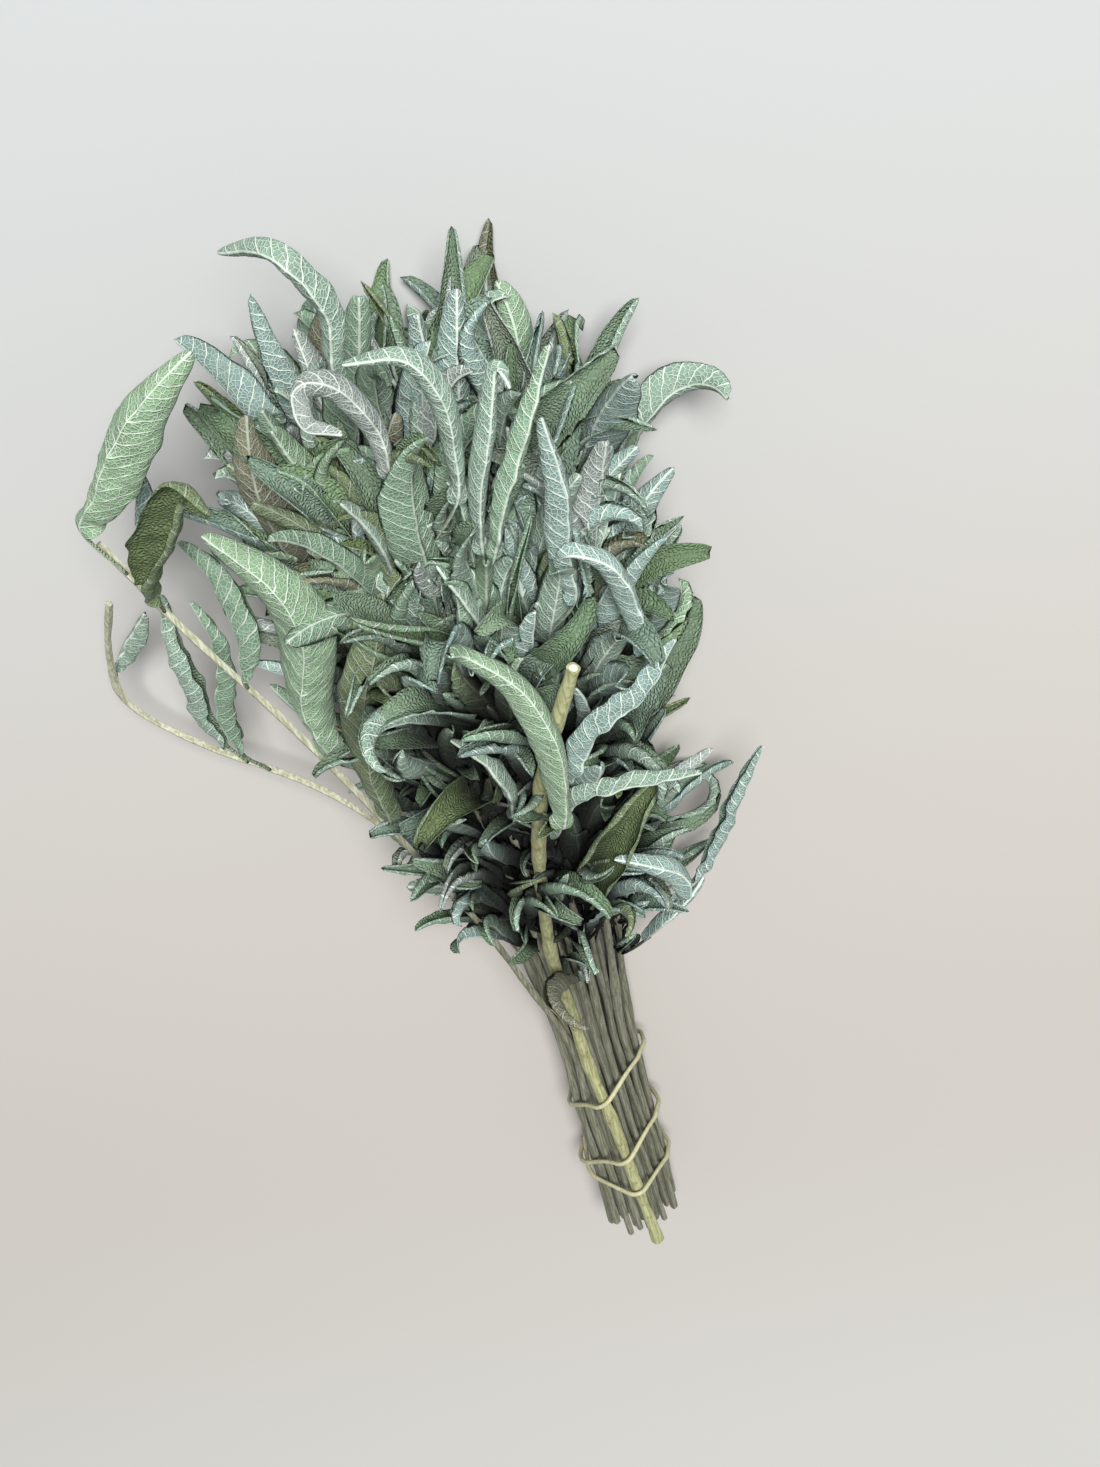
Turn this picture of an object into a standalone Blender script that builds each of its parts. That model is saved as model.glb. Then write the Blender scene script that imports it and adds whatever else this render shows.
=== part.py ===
"""A tied bunch of dried garden sage, lying on a flat surface.

The cut ends point along -Y and the leafy crown along +Y. Each sprig is one solid: a square stem,
as sage has, with its opposite pairs of leaves drawn out of the stem's own faces. The stems stand
in a hexagonal packing where the rubber bands hold them, and fan out above the neck. Every leaf is
tried against what is already there, so no two sprigs meet. Metres, +Z up.
"""

import math
import random
from dataclasses import dataclass, field

import bmesh
import bpy
from mathutils import Matrix, Quaternion, Vector
from mathutils.bvhtree import BVHTree
from mathutils.geometry import convex_hull_2d

MM = 0.001

# The whole bunch.
CUT_END_Y = -0.200
NECK = 0.108
CROWN = 0.330
CROWN_SPREAD_X = 1.75
CROWN_SPREAD_Z = 1.15
CROWN_LIFT = 0.030
WAIST_TURN = math.radians(24)

# Its stems.
SEAT_COUNT = 54
STEM_SPACING = 0.0039
STEM_RADIUS = 0.0016
THICKEST = 1.1
STEM_TIP_RADIUS = 0.0009
BRANCH_RADIUS = 0.0028
LEAF_SCAR = 0.0012
STEM_POINTS = 29
WAIST_RINGS = (0.050, 0.095, 0.124)

# Its leaves.
STEPS = 24
LEAF_THICKNESS = 0.0009
PETIOLE_RADIUS = 0.0006
FIRST_NODE = 0.142
NODE_SPACING = 0.0215
CLEARANCE = 0.0003
FLOOR_GAP = 0.0008
TRIES = 22
NODE_ROOM = 0.006
LEAFY_TOP = 0.8
LIFT_STEP = 0.0012

# The rubber bands.
BAND_RADIUS = 0.0009
BAND_GAP = 0.0006
BAND_POINTS = 40

SPRIG_COLOUR = (0.25, 0.33, 0.26, 1.0)
BRANCH_COLOUR = (0.34, 0.36, 0.16, 1.0)
BAND_COLOUR = (0.37, 0.38, 0.21, 1.0)


@dataclass
class Leaf:
    """One leaf: its size in metres, and how it has bent in drying, in radians.

    A leaf with a route follows it instead of bending by its angles. roll turns it about its midrib,
    from its upper side facing the middle of the bunch.
    """

    petiole: float
    blade: float
    width: float
    lean: float = 0.0
    lift: float = 0.0
    droop: float = 0.0
    curl: float = 0.0
    twist: float = 0.0
    sway: float = 0.0
    fold: float = 0.5
    route: tuple = ()
    roll: float = 0.0


@dataclass
class Node:
    """A place on a stem, as a share of its length, with leaves on two opposite faces."""

    share: float
    crossed: bool
    leaves: list = field(default_factory=list)


@dataclass
class Sprig:
    """One stem: evenly spaced points from its cut end to its tip, its thickness and its nodes."""

    name: str
    points: list
    radius: float
    tip_radius: float
    turn: float
    outwards: float = 1.0
    nodes: list = field(default_factory=list)

    @property
    def length(self):
        """The stem's length."""
        return sum((b - a).length for a, b in zip(self.points, self.points[1:]))


# The stems that stand out: where each leaves the bundle, as an angle round the waist, and the
# points it then passes, in millimetres from the middle of the bunch's length on the ground.
OUTLYING_STEMS = {
    "sprig_outer": (
        128,
        [(-22, -22, 46), (-31, 10, 53), (-45, 54, 60), (-60, 95, 66), (-78, 134, 70), (-92, 167, 72)],
    ),
    "sprig_low": (
        196,
        [(-34, -10, 26), (-64, 38, 29), (-103, 65, 25), (-121, 86, 26), (-117, 110, 34), (-106, 134, 46)],
    ),
}
CUT_BRANCH = (97, [(-3, -35, 47), (0, 5, 60), (7, 46, 76), (15, 78, 88), (32, 121, 102)])


@dataclass
class ShownLeaf:
    """A leaf that stands out: its stem (None for the nearest), its width in millimetres, its roll in
    degrees, and the points in millimetres that its midrib passes."""

    stem: str
    width: float
    roll: float
    stops: list


SHOWN_LEAVES = [
    # On the outlying stem: the broad one nearest the eye, an olive one with a bent tip, a far one.
    ShownLeaf(
        "sprig_outer", 25, 35,
        [(-50, 80, 67), (-51, 104, 76), (-42, 132, 86), (-44, 153, 90), (-61, 168, 80)],
    ),
    ShownLeaf(
        "sprig_outer", 17, 180,
        [(-80, 149, 76), (-73, 164, 84), (-63, 178, 90), (-55, 190, 95), (-49, 184, 102)],
    ),
    ShownLeaf(
        "sprig_outer", 20, 10,
        [(-92, 175, 76), (-84, 186, 82), (-70, 204, 88), (-56, 216, 90), (-44, 223, 86)],
    ),
    ShownLeaf("sprig_outer", 13, 0, [(-85, 152, 64), (-85, 162, 58), (-82, 178, 52)]),
    ShownLeaf("sprig_outer", 12, -20, [(-66, 116, 72), (-63, 132, 74), (-66, 148, 70), (-74, 158, 62)]),
    # On the low stem: two long ones that hang beside each other, and a small one at its bend.
    ShownLeaf(
        "sprig_low", 12, 0,
        [(-92, 68, 33), (-97, 82, 37), (-95, 99, 43), (-94, 117, 47), (-90, 134, 46)],
    ),
    ShownLeaf(
        "sprig_low", 11, 20,
        [(-87, 66, 36), (-88, 86, 42), (-82, 102, 48), (-78, 118, 52), (-81, 132, 50)],
    ),
    ShownLeaf("sprig_low", 9, 40, [(-121, 98, 24), (-112, 110, 30), (-100, 124, 38)]),
    # On the cut branch: a large one curled over its end, and a small one.
    ShownLeaf(
        "cut_branch", 17, 10,
        [(18, 62, 91), (23, 88, 101), (23, 104, 105), (18, 121, 106), (6, 132, 103), (3, 138, 110)],
    ),
    ShownLeaf("cut_branch", 8, 0, [(2, 57, 80), (4, 73, 90), (0, 88, 94), (-8, 97, 92)]),
    ShownLeaf(
        "sprig_outer", 18, 40,
        [(-38, 54, 68), (-38, 76, 75), (-32, 105, 80), (-24, 123, 82), (-17, 141, 80)],
    ),
    # Round the top of the crown: the longest, an arched one, a ribbon, and four upright ones.
    ShownLeaf(None, 10, 0, [(-12, 204, 82), (-9, 224, 90), (-13, 237, 93), (-21, 243, 88), (-34, 241, 76)]),
    ShownLeaf(None, 12, 0, [(10, 168, 88), (14, 186, 95), (15, 203, 101), (9, 216, 104), (-7, 216, 99)]),
    ShownLeaf(
        None, 12, 30,
        [(-4, 180, 90), (-3, 196, 97), (-9, 212, 103), (-18, 215, 105), (-19, 206, 108), (-9, 203, 110)],
    ),
    ShownLeaf(None, 11, 0, [(13, 150, 84), (17, 170, 92), (24, 190, 96), (29, 206, 96), (32, 203, 101)]),
    ShownLeaf(None, 9, 0, [(16, 150, 88), (23, 168, 95), (33, 188, 97), (43, 209, 93)]),
    ShownLeaf(None, 12, 15, [(34, 130, 84), (36, 148, 90), (39, 168, 93), (37, 190, 92)]),
    ShownLeaf(None, 12, 0, [(49, 106, 76), (51, 128, 86), (47, 144, 92), (38, 151, 94), (33, 148, 90)]),
    # On the right flank and low at the front.
    ShownLeaf(None, 12, 20, [(22, 70, 82), (34, 92, 91), (48, 102, 92), (60, 116, 86)]),
    ShownLeaf(None, 21, 150, [(13, 2, 58), (24, 27, 66), (36, 47, 72), (47, 58, 72)]),
    ShownLeaf(None, 9, 30, [(12, 44, 76), (23, 62, 84), (37, 67, 88), (60, 64, 82)]),
    ShownLeaf(None, 9, 10, [(48, -16, 36), (61, 0, 37), (70, 21, 40), (79, 40, 41)]),
    ShownLeaf(None, 11, 0, [(46, 4, 60), (48, 18, 66), (38, 28, 70), (28, 31, 68)]),
]


# ---------------------------------------------------------------- the bundle


def hexagonal_seats(count, spacing):
    """The points of a hexagonal grid nearest the middle, where the stems stand side by side."""
    seats = []
    for row in range(-7, 8):
        for column in range(-7, 8):
            x = (column + 0.5 * (row % 2)) * spacing
            seats.append(Vector((x, row * spacing * math.sqrt(0.75))))
    seats.sort(key=lambda seat: (round(seat.length, 6), round(math.atan2(seat.y, seat.x), 4)))
    return seats[:count]


def branch_seat(seats, angle):
    """The place on the packed stems where the thick cut branch just fits, in this direction."""
    heading = Vector((math.cos(angle), math.sin(angle)))
    room = BRANCH_RADIUS + STEM_RADIUS * THICKEST + CLEARANCE
    distance = 0.010
    while min((heading * distance - seat).length for seat in seats) < room:
        distance += 0.0002
    return heading * distance


def fan(station):
    """How far the bunch has opened this far from the cut ends: 0 at the neck, 1 at the crown."""
    return max(0.0, (station - NECK) / (CROWN - NECK)) ** 1.15


def axis_height(station):
    """Height of the bundle's middle, which rises from the bands to the belly of the crown."""
    rise = min(1.0, max(0.0, (station - NECK) / 0.2))
    return WAIST_HEIGHT + CROWN_LIFT * rise * rise * (3 - 2 * rise)


def waist_turn(station):
    """The twist that tying put into the stems, which run at a slant between the bands."""
    return WAIST_TURN * min(station, NECK) / NECK


def bundle_point(seat, station):
    """Where the stem of this seat is at this distance from the cut ends."""
    placed = seat.copy()
    placed.rotate(Matrix.Rotation(waist_turn(station), 2))
    opened = fan(station)
    return Vector((
        placed.x * (1 + CROWN_SPREAD_X * opened),
        CUT_END_Y + station,
        axis_height(station) + placed.y * (1 + CROWN_SPREAD_Z * opened),
    ))


def waist_outline(circles, margin):
    """The convex outline round the packed stems, as a stretched band takes it."""
    corners = []
    for seat, radius in circles:
        for k in range(16):
            angle = math.tau * k / 16
            corners.append(seat + Vector((math.cos(angle), math.sin(angle))) * (radius + margin))
    return [corners[i] for i in convex_hull_2d(corners)]


def outline_radius(outline, angle):
    """Distance from the bundle's middle to its outline in this direction."""
    heading = Vector((math.cos(angle), math.sin(angle)))
    across = Vector((-heading.y, heading.x))
    reach = 0.0
    for start, end in zip(outline, outline[1:] + outline[:1]):
        a, b = start.dot(across), end.dot(across)
        if (a <= 0) != (b <= 0):
            reach = max(reach, start.lerp(end, a / (a - b)).dot(heading))
    return reach


# ---------------------------------------------------------------- lines


def smooth_line(points, count):
    """Evenly spaced points along a smooth curve through the given ones."""
    ends = [points[0] * 2 - points[1], *points, points[-1] * 2 - points[-2]]
    fine = []
    for p0, p1, p2, p3 in zip(ends, ends[1:], ends[2:], ends[3:]):
        for k in range(16):
            t = k / 16
            bend = (p0 * 2 - p1 * 5 + p2 * 4 - p3) * t * t + (p1 * 3 - p0 - p2 * 3 + p3) * t ** 3
            fine.append((p1 * 2 + (p2 - p0) * t + bend) * 0.5)
    fine.append(points[-1])
    travelled = [0.0]
    for a, b in zip(fine, fine[1:]):
        travelled.append(travelled[-1] + (b - a).length)
    line, place = [], 0
    for k in range(count):
        goal = travelled[-1] * k / (count - 1)
        while place < len(fine) - 2 and travelled[place + 1] < goal:
            place += 1
        part = (goal - travelled[place]) / max(travelled[place + 1] - travelled[place], 1e-9)
        line.append(fine[place].lerp(fine[place + 1], part))
    return line


def point_at(points, share):
    """The point this share of the way along evenly spaced points."""
    place = min(max(share, 0.0), 1.0) * (len(points) - 1)
    low = min(int(place), len(points) - 2)
    return points[low].lerp(points[low + 1], place - low)


def direction_at(points, share):
    """The direction in which the line runs at this share of its length."""
    return (point_at(points, share + 0.02) - point_at(points, share - 0.02)).normalized()


# ---------------------------------------------------------------- stems and leaves


def stem_radius(sprig, share):
    """Half the diagonal of the square stem here."""
    return sprig.radius + (sprig.tip_radius - sprig.radius) * share


def stem_faces(sprig, share):
    """The stem's direction here, and the outward directions of its four faces."""
    along = direction_at(sprig.points, share)
    level = along.cross(Vector((0, 0, 1))).normalized()
    first = Quaternion(along, sprig.turn) @ level
    return along, [Quaternion(along, k * math.pi / 2) @ first for k in range(4)]


def stem_ring(sprig, share, swell=0.0):
    """The four corners of the square stem here."""
    _, faces = stem_faces(sprig, share)
    reach = stem_radius(sprig, share) * math.sqrt(0.5) + swell
    centre = point_at(sprig.points, share)
    return [centre + (faces[k] + faces[(k + 1) % 4]) * reach for k in range(4)]


def stem_rings(sprig):
    """Where the stem has its rings: (share, node or None), from above the cut end to the tip."""
    length = sprig.length
    rings = [(height / length, None) for height in WAIST_RINGS]
    rings += [(node.share, node) for node in sprig.nodes]
    spacing = 0.034 / length
    share = (WAIST_RINGS[-1] + 0.030) / length
    while share < 1.0:
        if min(abs(share - other) for other, _ in rings) > spacing:
            rings.append((share, None))
        share += 0.010 / length
    if all(share < 0.985 for share, _ in rings):
        rings.append((1.0, None))
    return sorted(rings, key=lambda ring: ring[0])


def half_width(leaf, share):
    """Half the leaf's width at this share of its whole length: a thin petiole, then the blade."""
    along_blade = (share * (leaf.petiole + leaf.blade) - leaf.petiole) / leaf.blade
    if along_blade <= 0:
        return PETIOLE_RADIUS
    along_blade = min(along_blade, 1.0)
    swell = max(math.sin(math.pi * along_blade ** 0.85), 0.0) ** 0.7
    return PETIOLE_RADIUS * (1 - along_blade) + 0.5 * leaf.width * swell


def bent_frames(leaf, start, along, out):
    """Walks along a leaf that bends by its angles: (point, heading, side, upper) at each step."""
    step = (leaf.petiole + leaf.blade) / STEPS
    side = along.cross(out).normalized()
    heading = (along * math.cos(leaf.lean) + out * math.sin(leaf.lean)).normalized()
    point = start.copy()
    frames = []
    for k in range(STEPS + 1):
        share = k / STEPS
        lowest = abs(side.z) * half_width(leaf, share) + FLOOR_GAP
        if point.z < lowest:
            point.z = lowest
            heading = Vector((heading.x, heading.y, max(heading.z, 0.0))).normalized()
            side = (side - heading * side.dot(heading)).normalized()
        frames.append((point.copy(), heading.copy(), side.copy(), heading.cross(side)))
        tip_share = max(0.0, share - 0.55) / 0.45
        bend = leaf.droop - 2.5 * leaf.lift * (share < 0.4) + 4.4 * leaf.curl * tip_share
        heading = Quaternion(side, bend / STEPS) @ heading
        side = Quaternion(heading, leaf.twist / STEPS) @ side
        sway = Quaternion(heading.cross(side), leaf.sway / STEPS)
        heading, side = sway @ heading, sway @ side
        point = point + heading * step
    return frames


def routed_frames(leaf, start):
    """Frames along a leaf that follows its route from this root."""
    line = smooth_line([start, *leaf.route], STEPS + 1)
    frames = []
    for k, point in enumerate(line):
        heading = direction_at(line, k / STEPS)
        middle = Vector((0.3 * point.x, point.y, axis_height(point.y - CUT_END_Y)))
        inwards = (middle - point).normalized()
        side = Quaternion(heading, leaf.roll) @ inwards.cross(heading).normalized()
        frames.append((point, heading, side, heading.cross(side)))
    return frames


def leaf_ring(leaf, frame, share, swell=0.0):
    """The leaf's four corners at a step: left edge, underside, right edge and upper side."""
    point, _, side, upper = frame
    in_blade = share * (leaf.petiole + leaf.blade) > leaf.petiole * 1.01
    half = half_width(leaf, share) + swell
    thick = 0.5 * LEAF_THICKNESS + swell
    fold = leaf.fold if in_blade else 0.0
    reach, raised = side * half * math.cos(fold), upper * half * math.sin(fold)
    corners = [
        point - reach + raised,
        point - upper * thick,
        point + reach + raised,
        point + upper * thick,
    ]
    under = FLOOR_GAP * 0.5 - min(corner.z for corner in corners)
    return [corner + Vector((0, 0, under)) for corner in corners] if under > 0 else corners


def ring_steps(leaf, frames):
    """The steps where the solid has its rings: the petiole's end, and more where the blade bends."""
    total = leaf.petiole + leaf.blade
    first = max(2, round(STEPS * leaf.petiole / total))
    bends = [frames[k][1].angle(frames[k + 1][1]) for k in range(first, STEPS)]
    count = 2 + (sum(bends) > 1.4) + (sum(bends) > 2.2)
    weights = [1.0 / len(bends) + bend / (sum(bends) + 0.6) for bend in bends]
    steps, gathered = [first], 0.0
    if leaf.petiole > 0.016:
        steps.insert(0, first // 2)
    for k, weight in enumerate(weights):
        gathered += weight
        if gathered > sum(weights) * (len(steps) - steps.index(first)) / (count + 1.0):
            if first + k + 1 < STEPS and first + k + 1 > steps[-1] + 1:
                steps.append(first + k + 1)
    return steps


def matched(ring, base):
    """The ring's corners in the same turn, begun at the one that suits the base's first corner."""
    middle = sum(ring, Vector()) / 4
    ground = sum(base, Vector()) / 4

    def fit(shift):
        return sum((ring[(k + shift) % 4] - middle).dot(base[k] - ground) for k in range(4))

    shift = max(range(4), key=fit)
    return [ring[(k + shift) % 4] for k in range(4)]


def skin(rings, tip):
    """Points and triangles of a closed form through four-cornered rings that ends in a point."""
    points = [corner for ring in rings for corner in ring] + [tip]
    faces = [(3, 2, 1), (3, 1, 0)]
    for r in range(len(rings) - 1):
        for k in range(4):
            a, b = 4 * r + k, 4 * r + (k + 1) % 4
            if (points[a] - points[b + 4]).length < (points[b] - points[a + 4]).length:
                faces += [(a, b, b + 4), (a, b + 4, a + 4)]
            else:
                faces += [(a, b, a + 4), (b, b + 4, a + 4)]
    last = 4 * (len(rings) - 1)
    faces += [(last + k, last + (k + 1) % 4, len(points) - 1) for k in range(4)]
    return points, faces


def leaf_form(leaf, frames, root_ring, swell):
    """The leaf as a plain closed form, swollen by a clearance.

    With no root ring it starts a little way along its stalk, so that it can be tried against its
    own stem.
    """
    steps = ring_steps(leaf, frames)
    begin = 0.42 * steps[0]
    low = int(begin)
    start = tuple(a.lerp(b, begin - low) for a, b in zip(frames[low], frames[low + 1]))
    rings = [leaf_ring(leaf, frames[k], k / STEPS, swell) for k in steps]
    if root_ring:
        rings.insert(0, matched(root_ring, rings[0]))
    else:
        rings.insert(0, leaf_ring(leaf, start, begin / STEPS, swell))
    return skin(rings, frames[-1][0] + frames[-1][1] * swell)


def stem_form(sprig, swell=0.0):
    """The stem as a plain closed form, swollen by a clearance."""
    shares = [0.0] + [share for share, _ in stem_rings(sprig)]
    rings = [stem_ring(sprig, share, swell) for share in shares]
    return skin(rings, sprig.points[-1] + direction_at(sprig.points, 1.0) * 0.001)


def crosses_itself(points, faces):
    """True if the form has faces that meet without sharing a corner."""
    tree = BVHTree.FromPolygons(points, faces)
    return any(not set(faces[a]) & set(faces[b]) for a, b in tree.overlap(tree))


class Thicket:
    """What is already placed, so that a new leaf can be tried against it."""

    def __init__(self):
        self.trees = []

    def add(self, owner, form):
        """Places a form of this sprig."""
        points, faces = form
        low = [min(p[k] for p in points) for k in range(3)]
        high = [max(p[k] for p in points) for k in range(3)]
        self.trees.append((BVHTree.FromPolygons(points, faces), low, high, owner))

    def meets(self, form, spared=None):
        """True if this form would run into anything placed but the spared sprig's."""
        points, faces = form
        low = [min(p[k] for p in points) for k in range(3)]
        high = [max(p[k] for p in points) for k in range(3)]
        tree = None
        for other, other_low, other_high, owner in self.trees:
            if owner == spared:
                continue
            if any(low[k] > other_high[k] or high[k] < other_low[k] for k in range(3)):
                continue
            tree = tree or BVHTree.FromPolygons(points, faces)
            if tree.overlap(other):
                return True
        return False


def leaf_root(sprig, node, face_index):
    """Where a leaf of this node starts, with the stem's direction and its face's."""
    along, faces = stem_faces(sprig, node.share)
    out = faces[(2 * face_index + node.crossed) % 4]
    reach = stem_radius(sprig, node.share) * math.sqrt(0.5)
    return point_at(sprig.points, node.share) + out * reach, along, out


def leaf_base(sprig, node, face_index, swell):
    """The four corners of the patch of stem that a leaf is drawn from, just clear of the stem."""
    root, along, out = leaf_root(sprig, node, face_index)
    side = along.cross(out)
    wide = stem_radius(sprig, node.share) * math.sqrt(0.5) * 0.95 + swell
    tall = LEAF_SCAR + swell
    root = root + out * 0.0001
    corners = [(-1, -1), (1, -1), (1, 1), (-1, 1)]
    return [root + side * wide * across + along * tall * up for across, up in corners]


def has_room(sprig, node, face_index, leaf, frames, stems, leaves):
    """True if the leaf meets no stem and no other leaf, and doesn't cross itself."""
    if stems.meets(leaf_form(leaf, frames, None, CLEARANCE)):
        return False
    form = leaf_form(leaf, frames, leaf_base(sprig, node, face_index, CLEARANCE), CLEARANCE)
    return not (stems.meets(form, sprig.name) or leaves.meets(form) or crosses_itself(*form))


def drawn_leaf(dice, share, shrink):
    """A leaf as chance dried it: low on a stem small and long-stalked, high up long and upright."""
    high = min(1.0, max(0.0, (share - 0.42) / 0.45))
    blade = dice.uniform(0.024 + 0.020 * high, 0.044 + 0.022 * high) * shrink
    hooked = dice.random() < 0.34
    return Leaf(
        petiole=(dice.uniform(0.004, 0.010) + dice.uniform(0.0, 0.016) * (1 - high)) * shrink,
        blade=blade,
        width=blade * dice.uniform(0.17, 0.27),
        lean=math.radians(dice.uniform(16, 46 - 14 * high)),
        lift=math.radians(dice.uniform(0, 26)),
        droop=math.radians(dice.uniform(-24, 34)),
        curl=math.radians(dice.uniform(50, 120) if hooked else dice.uniform(-40, 45)),
        twist=math.radians(dice.uniform(-90, 90)),
        sway=math.radians(dice.uniform(-40, 40)),
        fold=math.radians(dice.uniform(14, 52)),
    )


def place_leaves(sprigs, stems, leaves):
    """Gives the nodes their leaves, each drawn again until it has a free place, or left out."""
    places = []
    for index, sprig in enumerate(sprigs):
        if sprig.outwards > 0:
            places += [(index, node, side) for node in sprig.nodes for side in (0, 1)]
    random.Random(7).shuffle(places)
    for index, node, side in places:
        sprig = sprigs[index]
        if any(side == taken for taken, _, _ in node.leaves):
            continue
        dice = random.Random(1000 * index + round(500 * node.share) + side)
        root, along, out = leaf_root(sprig, node, side)
        centre = Vector((0, root.y, axis_height(root.y - CUT_END_Y)))
        facing = out.dot((root - centre).normalized())
        chance = 0.12 + 0.55 * sprig.outwards * (1 + facing)
        if node.share < LEAFY_TOP and dice.random() > chance:
            continue
        for attempt in range(TRIES):
            leaf = drawn_leaf(dice, node.share, 1.0 - 0.035 * max(0, attempt - 5))
            frames = bent_frames(leaf, root, along, out)
            if has_room(sprig, node, side, leaf, frames, stems, leaves):
                base = leaf_base(sprig, node, side, 0.0)
                leaves.add(sprig.name, leaf_form(leaf, frames, base, 0.0))
                node.leaves.append((side, leaf, frames))
                break


def near_nodes(sprig, share):
    """The nodes too near this share of the stem for another one."""
    return [node for node in sprig.nodes if abs(node.share - share) * sprig.length < NODE_ROOM]


def nearest_place(start, sprigs):
    """The stem and the share of it where a leaf that starts here would grow, at a natural slant."""
    places = []
    for sprig in sprigs:
        for k in range(30, 98):
            share = k / 100
            if any(node.leaves for node in near_nodes(sprig, share)):
                continue
            gap = start - point_at(sprig.points, share)
            slant = abs(gap.normalized().dot(direction_at(sprig.points, share)) - 0.7)
            places.append((gap.length + 0.01 * slant, sprig, share))
    return min(places, key=lambda place: place[0])[1:]


def place_shown_leaves(sprigs, leaves, stems):
    """Gives the leaves that stand out to their stems, each on the face nearest its route."""
    for shown in SHOWN_LEAVES:
        route = tuple(Vector(stop) * MM for stop in shown.stops)
        owner = shown.stem
        able = [s for s in sprigs if owner == s.name or (owner is None and s.outwards > 0)]
        sprig, share = nearest_place(route[0], able)
        _, faces = stem_faces(sprig, share)
        gap = route[0] - point_at(sprig.points, share)
        face = max(range(4), key=lambda k: faces[k].dot(gap))
        node = Node(share, bool(face % 2))
        root, _, _ = leaf_root(sprig, node, face // 2)
        for raised in range(9):
            moved = tuple(stop + Vector((0, 0, LIFT_STEP * raised)) for stop in route)
            line = smooth_line([root, *moved], STEPS + 1)
            total = sum((b - a).length for a, b in zip(line, line[1:]))
            stalk = (route[0] - root).length
            roll = math.radians(shown.roll)
            leaf = Leaf(stalk, total - stalk, shown.width * MM, fold=0.6, route=moved, roll=roll)
            frames = routed_frames(leaf, root)
            if has_room(sprig, node, face // 2, leaf, frames, stems, leaves):
                break
        else:
            continue
        crowding = near_nodes(sprig, share)
        sprig.nodes = [other for other in sprig.nodes if other not in crowding or other.leaves]
        sprig.nodes.append(node)
        sprig.nodes.sort(key=lambda n: n.share)
        base = leaf_base(sprig, node, face // 2, 0.0)
        leaves.add(sprig.name, leaf_form(leaf, frames, base, 0.0))
        node.leaves.append((face // 2, leaf, frames))


def nodes_between(dice, low, high, length):
    """Nodes at uneven distances, each crossed with the one before, as in all mints."""
    nodes = []
    station = low
    crossed = dice.random() < 0.5
    while station < high:
        nodes.append(Node(station / length, crossed))
        station += NODE_SPACING * dice.uniform(0.75, 1.2) * (1.2 - 0.6 * station / length)
        crossed = not crossed
    return nodes


def fanned_sprigs(seats):
    """The sprigs that fan out evenly from the neck, with their nodes but no leaves yet."""
    sprigs = []
    rim = max(seat.length for seat in seats)
    for index, seat in enumerate(seats):
        dice = random.Random(index)
        ring = seat.length / rim
        length = 0.362 + 0.012 * (1 - ring) - 0.034 * max(0.0, seat.x / rim)
        length += dice.uniform(-0.034, 0.010)
        start = dice.uniform(0.0, 0.007)
        wander = [dice.uniform(-1, 1) for _ in range(4)]
        points = []
        for k in range(STEM_POINTS):
            station = start + (length - start) * k / (STEM_POINTS - 1)
            opened = fan(station)
            point = bundle_point(seat, station)
            point.x += 0.0017 * opened * (wander[0] + wander[1] * math.sin(40 * station))
            point.z += 0.0012 * opened * (wander[2] + wander[3] * math.sin(36 * station))
            points.append(point)
        sprig = Sprig(
            name=f"sprig_{index + 1:02d}",
            points=smooth_line(points, STEM_POINTS),
            radius=STEM_RADIUS * dice.uniform(0.85, THICKEST),
            tip_radius=STEM_TIP_RADIUS,
            turn=dice.uniform(0, math.pi / 2),
            outwards=0.25 + 0.75 * ring ** 2,
        )
        first = FIRST_NODE + dice.uniform(0, 0.03) + 0.05 * (1 - ring)
        sprig.nodes = nodes_between(dice, first, sprig.length - 0.003, sprig.length)
        sprigs.append(sprig)
    return sprigs


def routed_sprig(name, seat, stops, radius, tip_radius, turn):
    """A stem that leaves its place in the bundle at the neck and passes the given points."""
    waist = [bundle_point(seat, NECK * k / 4) for k in range(5)]
    line = smooth_line(waist + [Vector(stop) * MM for stop in stops], 2 * STEM_POINTS)
    return Sprig(name, line, radius, tip_radius, turn)


# ---------------------------------------------------------------- solids


def pull_out(mesh, face, corners):
    """Extrudes one face to new corners. Returns the new face and the walls between."""
    made = bmesh.ops.extrude_discrete_faces(mesh, faces=[face])["faces"][0]
    for vert, corner in zip(made.verts, corners):
        vert.co = corner
    walls = [other for edge in made.edges for other in edge.link_faces if other is not made]
    return made, walls


def draw_out_leaf(mesh, face, leaf, frames):
    """Draws a leaf out of a face of its stem, ring by ring, to a pointed tip."""
    steps = ring_steps(leaf, frames)
    base = [vert.co.copy() for vert in face.verts]
    first = leaf_ring(leaf, frames[steps[0]], steps[0] / STEPS)
    shift = first.index(matched(first, base)[0])
    for k in steps:
        corners = leaf_ring(leaf, frames[k], k / STEPS)
        face, _ = pull_out(mesh, face, corners[shift:] + corners[:shift])
    face, _ = pull_out(mesh, face, [frames[-1][0]] * 4)
    bmesh.ops.pointmerge(mesh, verts=list(face.verts), merge_co=frames[-1][0])


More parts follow.
